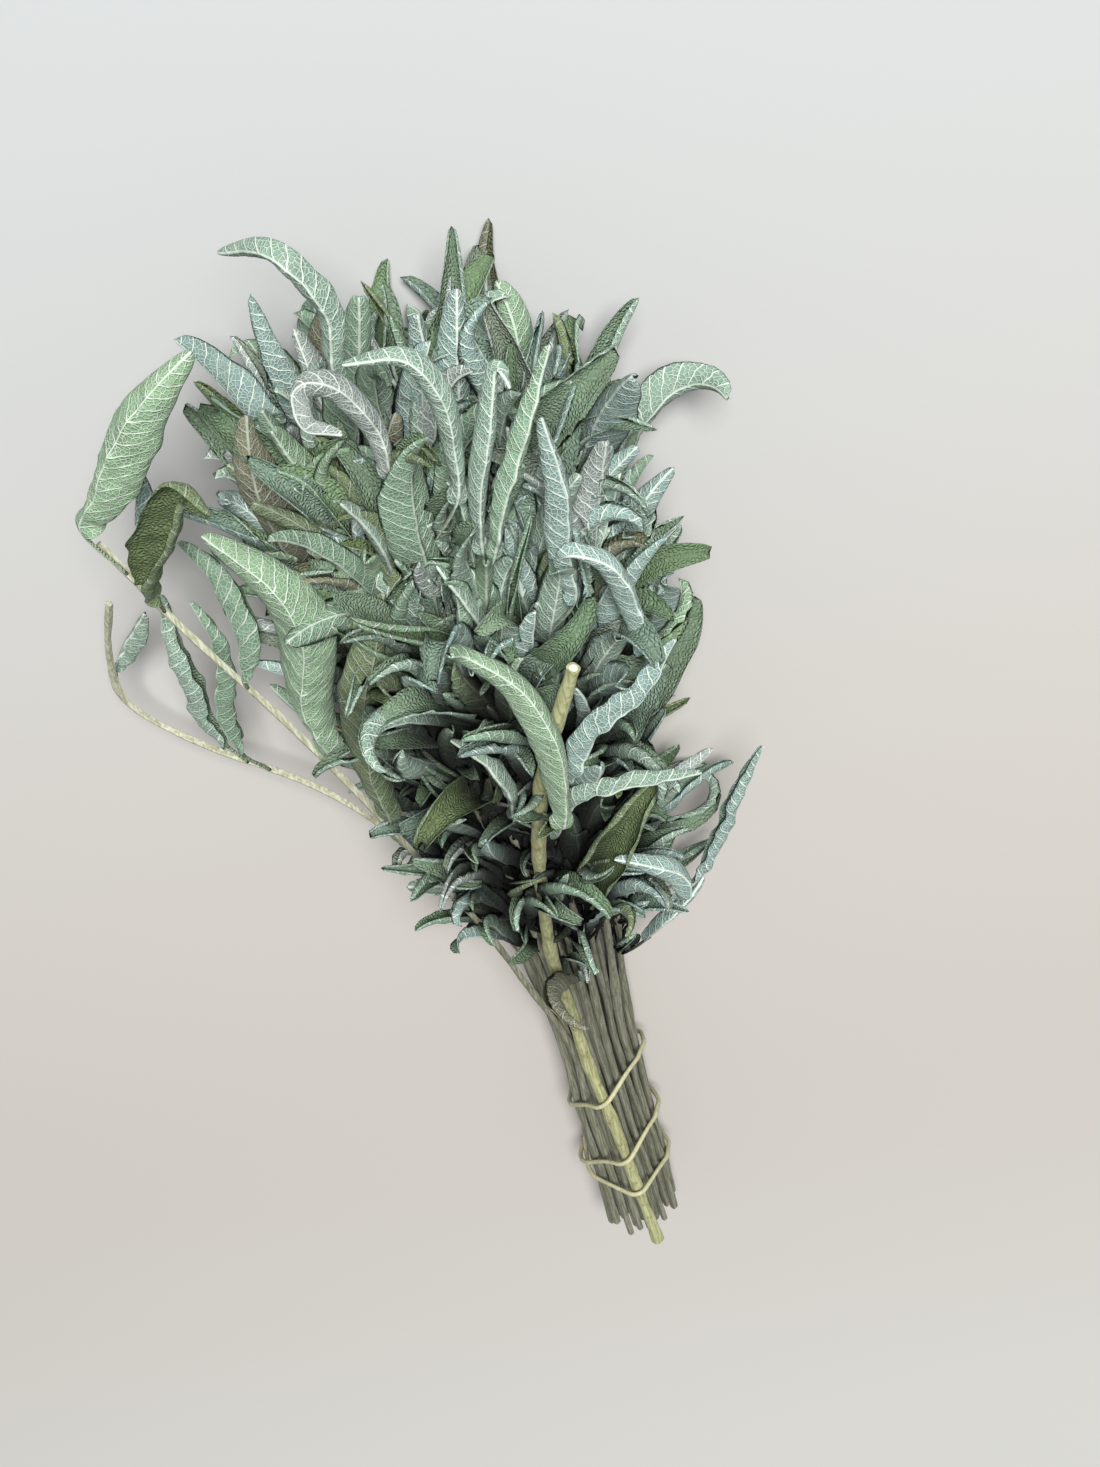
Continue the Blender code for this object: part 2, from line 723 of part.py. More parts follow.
def sprig_solid(sprig, material):
    """One closed solid for a stem and its leaves."""
    mesh = bmesh.new()
    bmesh.ops.create_cube(mesh, size=1)
    top = max(mesh.faces, key=lambda f: f.calc_center_median().z)
    floor = min(mesh.faces, key=lambda f: f.calc_center_median().z)
    upper = list(top.verts)
    lower = [min(floor.verts, key=lambda v: (v.co.xy - t.co.xy).length) for t in upper]
    rings = stem_rings(sprig)
    for vert, corner in zip(lower, stem_ring(sprig, 0.0)):
        vert.co = corner
    for vert, corner in zip(upper, stem_ring(sprig, rings[0][0])):
        vert.co = corner
    scar = LEAF_SCAR / sprig.length
    for share, node in rings[1:]:
        if node is None or not node.leaves:
            top, _ = pull_out(mesh, top, stem_ring(sprig, share))
            continue
        top, _ = pull_out(mesh, top, stem_ring(sprig, share - scar))
        top, walls = pull_out(mesh, top, stem_ring(sprig, share + scar))
        centre = point_at(sprig.points, share)
        for side, leaf, frames in node.leaves:
            _, _, out = leaf_root(sprig, node, side)
            wall = max(walls, key=lambda f: (f.calc_center_median() - centre).dot(out))
            walls.remove(wall)
            draw_out_leaf(mesh, wall, leaf, frames)
    bmesh.ops.triangulate(mesh, faces=list(mesh.faces), quad_method="SHORT_EDGE")
    bmesh.ops.recalc_face_normals(mesh, faces=mesh.faces)
    data = bpy.data.meshes.new(sprig.name)
    mesh.to_mesh(data)
    mesh.free()
    data.materials.append(material)
    solid = bpy.data.objects.new(sprig.name, data)
    COLLECTION.objects.link(solid)
    return solid


def band_line(turns, station_at, lift_at):
    """A closed line round the waist. station_at gives its distance from the cut ends by angle."""
    points = []
    for k in range(BAND_POINTS * turns):
        angle = math.tau * k / BAND_POINTS
        station = station_at(angle)
        reach = outline_radius(OUTLINE, angle - waist_turn(station)) + lift_at(angle)
        points.append(Vector((
            reach * math.cos(angle),
            CUT_END_Y + station,
            WAIST_HEIGHT + reach * math.sin(angle),
        )))
    return points


def rubber_band(name, points, material):
    """A rubber band as a closed round loop, stretched round the stems."""
    curve = bpy.data.curves.new(name, "CURVE")
    curve.dimensions = "3D"
    spline = curve.splines.new("POLY")
    spline.points.add(len(points) - 1)
    for slot, point in zip(spline.points, points):
        slot.co = (*point, 1.0)
    spline.use_cyclic_u = True
    curve.bevel_depth = BAND_RADIUS
    curve.bevel_resolution = 1
    curve.materials.append(material)
    band = bpy.data.objects.new(name, curve)
    COLLECTION.objects.link(band)
    return band


def upper_band_station(angle):
    """One slanting turn, highest on the right."""
    return 0.082 + 0.013 * math.cos(angle - 0.35)


def lower_band_station(angle):
    """Two turns of one band, a slanting one and a level one, which cross once."""
    return 0.041 + 0.013 * math.cos(angle / 2) + 0.006 * math.cos(angle - 0.35)


def lower_band_lift(angle):
    """The second turn lifts over the first where they cross."""
    return 0.0024 * math.exp(-(((angle - math.pi) / 0.55) ** 2))


def finish(name, colour, roughness):
    """A plain material with this colour and roughness."""
    material = bpy.data.materials.new(name)
    material.use_nodes = True
    shader = material.node_tree.nodes["Principled BSDF"]
    shader.inputs["Base Color"].default_value = colour
    shader.inputs["Roughness"].default_value = roughness
    shader.inputs["Metallic"].default_value = 0.0
    return material


def rest_on_origin(objects):
    """Moves everything so that the middle of the bounding box's underside is the origin."""
    bpy.context.view_layer.update()
    graph = bpy.context.evaluated_depsgraph_get()
    corners = []
    for item in objects:
        evaluated = item.evaluated_get(graph)
        corners += [vert.co.copy() for vert in evaluated.to_mesh().vertices]
        evaluated.to_mesh_clear()
    low = [min(corner[k] for corner in corners) for k in range(3)]
    high = [max(corner[k] for corner in corners) for k in range(3)]
    shift = Vector(((low[0] + high[0]) / 2, (low[1] + high[1]) / 2, low[2]))
    for item in objects:
        item.location -= shift


for leftover in list(bpy.data.objects):
    bpy.data.objects.remove(leftover)
COLLECTION = bpy.data.collections.new("sage_bunch")
bpy.context.scene.collection.children.link(COLLECTION)

SEATS = hexagonal_seats(SEAT_COUNT, STEM_SPACING)
BRANCH_ANGLE = math.radians(CUT_BRANCH[0]) - WAIST_TURN
BRANCH = branch_seat(SEATS, BRANCH_ANGLE)
CIRCLES = [(seat, STEM_RADIUS * THICKEST) for seat in SEATS] + [(BRANCH, BRANCH_RADIUS)]
OUTLINE = waist_outline(CIRCLES, BAND_RADIUS + BAND_GAP)
WAIST_HEIGHT = outline_radius(OUTLINE, -math.pi / 2) + BAND_RADIUS + 0.0004

sage = finish("dried_sage", SPRIG_COLOUR, 0.9)
branch_wood = finish("cut_branch", BRANCH_COLOUR, 0.8)
rubber = finish("band_rubber", BAND_COLOUR, 0.55)

FREE_SEATS = list(SEATS)
ROUTED = []
for stem_name, (waist_angle, route_stops) in OUTLYING_STEMS.items():
    aim = math.radians(waist_angle) - WAIST_TURN
    toward = Vector((math.cos(aim), math.sin(aim)))
    chosen = max(FREE_SEATS, key=lambda seat: seat.dot(toward))
    FREE_SEATS.remove(chosen)
    ROUTED.append(routed_sprig(stem_name, chosen, route_stops, STEM_RADIUS, 0.0013, 0.3))
BRANCH_SPRIG = routed_sprig("cut_branch", BRANCH, CUT_BRANCH[1], BRANCH_RADIUS, 0.0026, 0.6)
BRANCH_SPRIG.outwards = 0.0
ROUTED.append(BRANCH_SPRIG)

STEM_THICKET = Thicket()
for grown in ROUTED:
    STEM_THICKET.add(grown.name, stem_form(grown))
FANNED = []
for grown in fanned_sprigs(FREE_SEATS):
    if STEM_THICKET.meets(stem_form(grown, CLEARANCE / 2)):
        continue
    grown.name = f"sprig_{len(FANNED) + 1:02d}"
    STEM_THICKET.add(grown.name, stem_form(grown))
    FANNED.append(grown)
SPRIGS = FANNED + ROUTED
LEAF_THICKET = Thicket()
place_shown_leaves(SPRIGS, LEAF_THICKET, STEM_THICKET)
place_leaves(FANNED, STEM_THICKET, LEAF_THICKET)

MADE = [sprig_solid(sprig, branch_wood if sprig is BRANCH_SPRIG else sage) for sprig in SPRIGS]
UPPER_BAND = band_line(1, upper_band_station, lambda angle: 0.0)
LOWER_BAND = band_line(2, lower_band_station, lower_band_lift)
MADE.append(rubber_band("rubber_band_upper", UPPER_BAND, rubber))
MADE.append(rubber_band("rubber_band_lower", LOWER_BAND, rubber))
rest_on_origin(MADE)
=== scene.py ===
"""A tied bunch of dried garden sage, dressed leaf by leaf round its plain solids.

The stems and leaves are laid out by the same rules as the solids they replace, and each solid says
which of the leaves that chance offers really grew. Metres, +Z up.
"""

import logging
import math
import random
from dataclasses import dataclass, field, replace
from enum import Enum
from typing import Any, Callable, Iterable, Optional, Sequence

import bpy
import numpy as np
from mathutils import Matrix, Quaternion, Vector
from mathutils.geometry import convex_hull_2d
from mathutils.kdtree import KDTree


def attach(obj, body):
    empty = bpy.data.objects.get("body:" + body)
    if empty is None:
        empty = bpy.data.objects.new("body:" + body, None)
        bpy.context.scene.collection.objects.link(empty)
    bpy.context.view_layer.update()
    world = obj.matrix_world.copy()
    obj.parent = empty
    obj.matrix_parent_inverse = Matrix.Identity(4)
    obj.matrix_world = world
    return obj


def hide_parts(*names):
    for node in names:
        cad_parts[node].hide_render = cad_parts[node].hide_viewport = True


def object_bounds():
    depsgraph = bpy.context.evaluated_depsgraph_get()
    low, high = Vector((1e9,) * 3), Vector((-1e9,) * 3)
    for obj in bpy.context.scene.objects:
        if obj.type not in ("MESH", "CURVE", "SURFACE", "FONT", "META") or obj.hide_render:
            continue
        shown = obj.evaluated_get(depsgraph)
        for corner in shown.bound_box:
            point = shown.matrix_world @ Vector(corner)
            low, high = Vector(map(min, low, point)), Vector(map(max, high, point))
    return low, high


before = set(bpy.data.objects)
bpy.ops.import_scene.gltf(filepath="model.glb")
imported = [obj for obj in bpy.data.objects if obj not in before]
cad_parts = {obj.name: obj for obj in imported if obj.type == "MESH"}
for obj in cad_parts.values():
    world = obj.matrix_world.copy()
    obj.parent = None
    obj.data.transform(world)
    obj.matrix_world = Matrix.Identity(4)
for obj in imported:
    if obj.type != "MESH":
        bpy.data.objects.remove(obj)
CAD_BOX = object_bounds()

LOG = logging.getLogger("sage_bunch")
MM = 0.001
STEPS = 24  # from a leaf's root to its tip
BODY = "root"

# Along a leaf, at each step: the midrib's point, its heading, the blade's side and its upper side.
Frames = list[tuple[Vector, Vector, Vector, Vector]]


# ---------------------------------------------------------------- colours and nodes


def linear(code: str) -> tuple[float, float, float, float]:
    """Turns an sRGB hex colour to linear.

    Args:
        code: six hex digits after a #.

    Returns:
        Red, green, blue and an alpha of 1.
    """
    parts = [int(code[k:k + 2], 16) / 255 for k in (1, 3, 5)]
    red, green, blue = [
        part / 12.92 if part <= 0.04045 else ((part + 0.055) / 1.055) ** 2.4 for part in parts
    ]
    return red, green, blue, 1.0


def add_node(tree: Any, kind: str, links: Optional[dict] = None, **settings: Any) -> Any:
    """Adds a node with its settings and its inputs.

    Args:
        tree: the node tree.
        kind: the node's type.
        links: by input name or number, a value to set or a socket to link.
        settings: the node's own properties.

    Returns:
        The node.
    """
    node = tree.nodes.new(kind)
    for name, value in settings.items():
        setattr(node, name, value)
    for key, value in (links or {}).items():
        if isinstance(value, bpy.types.NodeSocket):
            tree.links.new(value, node.inputs[key])
        else:
            node.inputs[key].default_value = value
    return node


class Tone(Enum):
    """The colours that sage leaves dry to, as the felt of their undersides shows them."""

    BRIGHT = "#7F9F7C"
    GREEN = "#78997E"
    GREY = "#84A08F"
    BLUE = "#84A19C"
    MAUVE = "#929D9A"
    OLIVE = "#718459"
    BROWN = "#7C7B62"


@dataclass(frozen=True)
class DriedLeaf:
    """Dried sage leaf: matt, as a felt of fine hairs scatters the light, and netted with veins.

    The veins stand out pale on the underside. The upper side is greener, and pebbled between
    sunken veins. The sizes are real ones, in millimetres, except that of the felt: its hairs are
    too fine to show, so it is drawn as coarse as it needs to be.
    """

    name: str = "dried_sage_leaf"
    vein: str = "#E2ECE0"
    upper: str = "#84946F"
    stalk: str = "#9AA78E"
    scorch: str = "#6E6A4E"
    cell_mm: float = 1.25
    net_strength: float = 0.62
    side_vein_mm: float = 4.4
    side_vein_slant: float = 0.8
    net_bend_mm: float = 2.0
    wobble_mm: float = 3.1
    felt_mm: float = 0.22
    blotch_mm: float = 11.0
    relief_mm: float = 0.55
    roughness: float = 0.86
    sheen: float = 0.02
    specular: float = 0.07

    def build(self) -> bpy.types.Material:
        """Builds the material from the attributes `blade` (along, across, side) and `tint`.

        Returns:
            The material.
        """
        material = bpy.data.materials.new(self.name)
        material.use_nodes = True
        tree = material.node_tree
        shader = tree.nodes["Principled BSDF"]
        blade = add_node(tree, "ShaderNodeAttribute", attribute_name="blade")
        # The `tint` holds each leaf's own colour darkened by painted shade.
        tint = add_node(tree, "ShaderNodeAttribute", attribute_name="tint")
        place = add_node(tree, "ShaderNodeSeparateXYZ", {0: blade.outputs["Vector"]})
        along, side = place.outputs[0], place.outputs[2]
        away = add_node(
            tree, "ShaderNodeMath", {0: place.outputs[1]}, operation="ABSOLUTE"
        ).outputs[0]

        # Each leaf takes its patterns from another place, which its tint's alpha sets.
        own_start = add_node(
            tree, "ShaderNodeMath", {0: tint.outputs["Alpha"], 1: 0.4, 2: along},
            operation="MULTIPLY_ADD",
        ).outputs[0]
        spot = add_node(
            tree, "ShaderNodeCombineXYZ", {0: own_start, 1: place.outputs[1]}
        ).outputs[0]
        body = add_node(tree, "ShaderNodeTexCoord").outputs["Object"]
        wobble = add_node(
            tree, "ShaderNodeTexNoise",
            {"Vector": spot, "Scale": 1000 / self.wobble_mm, "Detail": 1.0},
        ).outputs[0]
        felt = add_node(
            tree, "ShaderNodeTexNoise",
            {"Vector": body, "Scale": 1000 / self.felt_mm, "Detail": 2.0},
        ).outputs[0]
        blotch = add_node(
            tree, "ShaderNodeTexNoise",
            {"Vector": body, "Scale": 1000 / self.blotch_mm, "Detail": 3.0, "Roughness": 0.6},
        ).outputs[0]

        # The fine net of veins, in bent cells.
        bend = add_node(
            tree, "ShaderNodeTexNoise", {"Vector": spot, "Scale": 1000 / self.net_bend_mm}
        ).outputs[1]
        warped = add_node(
            tree, "ShaderNodeVectorMath", {0: bend, 1: (0.0007, 0.0007, 0.0), 2: spot},
            operation="MULTIPLY_ADD",
        ).outputs[0]
        net_gap = add_node(
            tree, "ShaderNodeTexVoronoi", {"Vector": warped, "Scale": 1000 / self.cell_mm},
            feature="DISTANCE_TO_EDGE", voronoi_dimensions="2D",
        ).outputs[0]
        net = add_node(
            tree, "ShaderNodeMapRange", {0: net_gap, 1: 0.04, 2: 0.19, 3: 1.0, 4: 0.0},
            interpolation_type="SMOOTHSTEP",
        ).outputs[0]

        # Side veins that leave the midrib at a slant, and the midrib itself.
        lag = add_node(
            tree, "ShaderNodeMath", {0: away, 1: -self.side_vein_slant, 2: along},
            operation="MULTIPLY_ADD",
        ).outputs[0]
        waved = add_node(
            tree, "ShaderNodeMath", {0: wobble, 1: 0.0016, 2: lag}, operation="MULTIPLY_ADD"
        ).outputs[0]
        beat = add_node(
            tree, "ShaderNodeMath", {0: waved, 1: self.side_vein_mm * MM / 2}, operation="PINGPONG"
        ).outputs[0]
        side_vein = add_node(
            tree, "ShaderNodeMapRange", {0: beat, 1: 0.00014, 2: 0.00046, 3: 1.0, 4: 0.0},
            interpolation_type="SMOOTHSTEP",
        ).outputs[0]
        midrib = add_node(
            tree, "ShaderNodeMapRange", {0: away, 1: 0.00018, 2: 0.00060, 3: 0.9, 4: 0.0},
            interpolation_type="SMOOTHSTEP",
        ).outputs[0]
        strong = add_node(
            tree, "ShaderNodeMath", {0: side_vein, 1: midrib}, operation="MAXIMUM"
        ).outputs[0]
        faint = add_node(
            tree, "ShaderNodeMath", {0: net, 1: self.net_strength}, operation="MULTIPLY"
        ).outputs[0]
        veins = add_node(
            tree, "ShaderNodeMath", {0: strong, 1: faint}, operation="MAXIMUM"
        ).outputs[0]
        is_upper = add_node(
            tree, "ShaderNodeMapRange", {0: side, 1: 0.35, 2: 0.65}, interpolation_type="SMOOTHSTEP"
        ).outputs[0]

        # The underside: tinted felt, paler over the veins.
        shade = add_node(
            tree, "ShaderNodeMapRange", {0: blotch, 1: 0.3, 2: 0.7, 3: 0.58, 4: 1.0}
        ).outputs[0]
        fine = add_node(
            tree, "ShaderNodeMapRange", {0: felt, 1: 0.3, 2: 0.7, 3: 0.90, 4: 1.08}
        ).outputs[0]
        dapple = add_node(
            tree, "ShaderNodeMath", {0: shade, 1: fine}, operation="MULTIPLY"
        ).outputs[0]
        cells = add_node(
            tree, "ShaderNodeVectorMath", {0: tint.outputs["Color"], "Scale": dapple},
            operation="SCALE",
        ).outputs[0]

        # Painted shade darkens a leaf deep in the bunch; its veins, upper side, stains and stalk
        # too.
        painted_shade_level = add_node(
            tree, "ShaderNodeMath", {0: tint.outputs["Fac"], 1: 3.0},
            operation="MULTIPLY", use_clamp=True,
        ).outputs[0]
        veined, greens, scorched, stalks = (
            add_node(
                tree, "ShaderNodeVectorMath", {0: linear(code)[:3], "Scale": painted_shade_level},
                operation="SCALE",
            ).outputs[0]
            for code in (self.vein, self.upper, self.scorch, self.stalk)
        )
        pale = add_node(
            tree, "ShaderNodeMix", {0: 0.66, 6: tint.outputs["Color"], 7: veined},
            data_type="RGBA",
        ).outputs[2]
        under = add_node(
            tree, "ShaderNodeMix", {0: veins, 6: cells, 7: pale}, data_type="RGBA"
        ).outputs[2]

        # The upper side: greener, pebbled between sunken veins with painted shade in their grooves.
        greened = add_node(
            tree, "ShaderNodeMix", {0: 0.42, 6: cells, 7: greens}, data_type="RGBA"
        ).outputs[2]
        painted_groove_shade = add_node(
            tree, "ShaderNodeMapRange", {0: veins, 1: 0.0, 2: 1.0, 3: 1.0, 4: 0.72}
        ).outputs[0]
        above = add_node(
            tree, "ShaderNodeVectorMath", {0: greened, "Scale": painted_groove_shade}, operation="SCALE"
        ).outputs[0]
        both = add_node(
            tree, "ShaderNodeMix", {0: is_upper, 6: under, 7: above}, data_type="RGBA"
        ).outputs[2]

        # Scorched patches, and the pale stalk.
        patch = add_node(
            tree, "ShaderNodeMapRange", {0: blotch, 1: 0.60, 2: 0.74, 3: 0.0, 4: 0.40}
        ).outputs[0]
        aged = add_node(
            tree, "ShaderNodeMix", {0: patch, 6: both, 7: scorched}, data_type="RGBA"
        ).outputs[2]
        is_stalk = add_node(
            tree, "ShaderNodeMapRange", {0: along, 1: -0.0035, 2: 0.0005, 3: 0.75, 4: 0.0}
        ).outputs[0]
        colour = add_node(
            tree, "ShaderNodeMix", {0: is_stalk, 6: aged, 7: stalks}, data_type="RGBA"
        ).outputs[2]

        # Relief: raised veins below, pebbles above, and hairs on both.
        pebbles = add_node(
            tree, "ShaderNodeMapRange", {0: net_gap, 1: 0.0, 2: 0.42, 3: 0.0, 4: 1.0},
            interpolation_type="SMOOTHSTEP",
        ).outputs[0]
        height = add_node(
            tree, "ShaderNodeMix", {0: is_upper, 2: veins, 3: pebbles}, data_type="FLOAT"
        ).outputs[0]
        crumpled = add_node(
            tree, "ShaderNodeMath", {0: wobble, 1: 1.6, 2: height}, operation="MULTIPLY_ADD"
        ).outputs[0]
        hairy = add_node(
            tree, "ShaderNodeMath", {0: felt, 1: 0.35, 2: crumpled}, operation="MULTIPLY_ADD"
        ).outputs[0]
        bump = add_node(
            tree, "ShaderNodeBump",
            {"Height": hairy, "Strength": 0.9, "Distance": self.relief_mm * MM},
        ).outputs[0]
        tree.links.new(colour, shader.inputs["Base Color"])
        tree.links.new(bump, shader.inputs["Normal"])
        shader.inputs["Roughness"].default_value = self.roughness
        shader.inputs["Sheen Weight"].default_value = self.sheen
        shader.inputs["Sheen Roughness"].default_value = 0.45
        shader.inputs["Specular IOR Level"].default_value = self.specular
        return material


@dataclass(frozen=True)
class DriedStalk:
    """A dried stalk, ridged and streaked along its length; on sage also felted and dull.

    The streaks run along the bunch, many times longer than they are wide.
    """

    name: str
    light: str
    dark: str
    fleck: str
    streak_mm: float = 0.7
    speck_mm: float = 2.6
    stretch: float = 0.06
    roughness: float = 0.82
    sheen: float = 0.02
    specular: float = 0.12
    relief_mm: float = 0.16
    flecks: float = 0.35

    def build(self) -> bpy.types.Material:
        """Builds the material from the piece's own coordinates and its `shade` attribute.

        Returns:
            The material.
        """
        material = bpy.data.materials.new(self.name)
        material.use_nodes = True
        tree = material.node_tree
        shader = tree.nodes["Principled BSDF"]
        body = add_node(tree, "ShaderNodeTexCoord").outputs["Object"]
        # The `shade` attribute holds each stalk's own level darkened by painted shade.
        shade = add_node(tree, "ShaderNodeAttribute", attribute_name="shade").outputs["Fac"]
        drawn = add_node(
            tree, "ShaderNodeMapping", {"Vector": body, "Scale": (1.0, self.stretch, 1.0)}
        ).outputs[0]
        streak = add_node(
            tree, "ShaderNodeTexNoise",
            {"Vector": drawn, "Scale": 1000 / self.streak_mm, "Detail": 3.0, "Roughness": 0.6},
        ).outputs[0]
        speck = add_node(
            tree, "ShaderNodeTexNoise",
            {"Vector": body, "Scale": 1000 / self.speck_mm, "Detail": 4.0},
        ).outputs[0]
        share = add_node(
            tree, "ShaderNodeMapRange", {0: streak, 1: 0.36, 2: 0.64},
            interpolation_type="SMOOTHSTEP",
        ).outputs[0]
        streaked = add_node(
            tree, "ShaderNodeMix", {0: share, 6: linear(self.dark), 7: linear(self.light)},
            data_type="RGBA",
        ).outputs[2]
        spots = add_node(
            tree, "ShaderNodeMapRange", {0: speck, 1: 0.56, 2: 0.66, 3: 0.0, 4: self.flecks}
        ).outputs[0]
        flecked = add_node(
            tree, "ShaderNodeMix", {0: spots, 6: streaked, 7: linear(self.fleck)}, data_type="RGBA"
        ).outputs[2]
        colour = add_node(
            tree, "ShaderNodeVectorMath", {0: flecked, "Scale": shade}, operation="SCALE"
        ).outputs[0]
        bump = add_node(
            tree, "ShaderNodeBump",
            {"Height": streak, "Strength": 0.8, "Distance": self.relief_mm * MM},
        ).outputs[0]
        tree.links.new(colour, shader.inputs["Base Color"])
        tree.links.new(bump, shader.inputs["Normal"])
        shader.inputs["Roughness"].default_value = self.roughness
        shader.inputs["Sheen Weight"].default_value = self.sheen
        shader.inputs["Specular IOR Level"].default_value = self.specular
        return material


# Sage's stems are felted and grey-green; the branch's bark is smoother and olive; the pith is white
# and mealy; the bands have aged to a dull straw colour but keep a little gloss.
SAGE_STEM = DriedStalk("dried_sage_stem", "#AEB09E", "#86876F", "#706C57")
GREEN_BARK = DriedStalk(
    "dried_green_bark", "#A6A882", "#84865C", "#73664C", streak_mm=0.9, sheen=0.05, flecks=0.6
)
CUT_PITH = DriedStalk(
    "dried_pith", "#EDE9DA", "#D8D2BC", "#B9AC8C", streak_mm=0.3, stretch=1.0, sheen=0.0
)
AGED_RUBBER = DriedStalk(
    "aged_natural_rubber", "#B4B290", "#A3A180", "#908C6C", streak_mm=1.2, stretch=0.5,
    roughness=0.42, sheen=0.0, specular=0.3, relief_mm=0.05, flecks=0.2,
)


# ---------------------------------------------------------------- what grew


@dataclass
class Leaf:
    """One leaf: its size in metres, and how it has bent in drying, in radians."""

    petiole: float
    blade: float
    width: float
    lean: float = 0.0
    lift: float = 0.0
    droop: float = 0.0
    curl: float = 0.0
    twist: float = 0.0
    sway: float = 0.0
    fold: float = 0.5
    route: tuple = ()
    roll: float = 0.0
    tone: Optional[Tone] = None


@dataclass
class Node:
    """A place on a stem, as a share of its length, with leaves on two opposite faces."""

    share: float
    crossed: bool
    leaves: list[tuple[int, Leaf, Frames]] = field(default_factory=list)


@dataclass
class Sprig:
    """One stem: evenly spaced points from its cut end to its tip, its thickness and its nodes."""

    name: str
    points: list[Vector]
    radius: float
    tip_radius: float
    turn: float
    outwards: float = 1.0
    nodes: list[Node] = field(default_factory=list)

    @property
    def length(self) -> float:
        """The stem's length."""
        return sum((b - a).length for a, b in zip(self.points, self.points[1:]))


@dataclass
class ShownLeaf:
    """A leaf that stands out.

    Its stem (None for the nearest), its width in millimetres, its roll in degrees, its tone, and
    the points in millimetres that its midrib passes.
    """

    stem: Optional[str]
    width: float
    roll: float
    tone: Tone
    stops: list[tuple[float, float, float]]


# The stems that leave the bundle: on which side, in degrees, and the points in millimetres that
# they pass.
OUTLYING_STEMS = {
    "sprig_outer": (
        128,
        [(-22, -22, 46), (-31, 10, 53), (-45, 54, 60), (-60, 95, 66), (-78, 134, 70),
         (-92, 167, 72)],
    ),
    "sprig_low": (
        196,
        [(-34, -10, 26), (-64, 38, 29), (-103, 65, 25), (-121, 86, 26), (-117, 110, 34),
         (-106, 134, 46)],
    ),
}
CUT_BRANCH = (97, [(-3, -35, 47), (0, 5, 60), (7, 46, 76), (15, 78, 88), (32, 121, 102)])

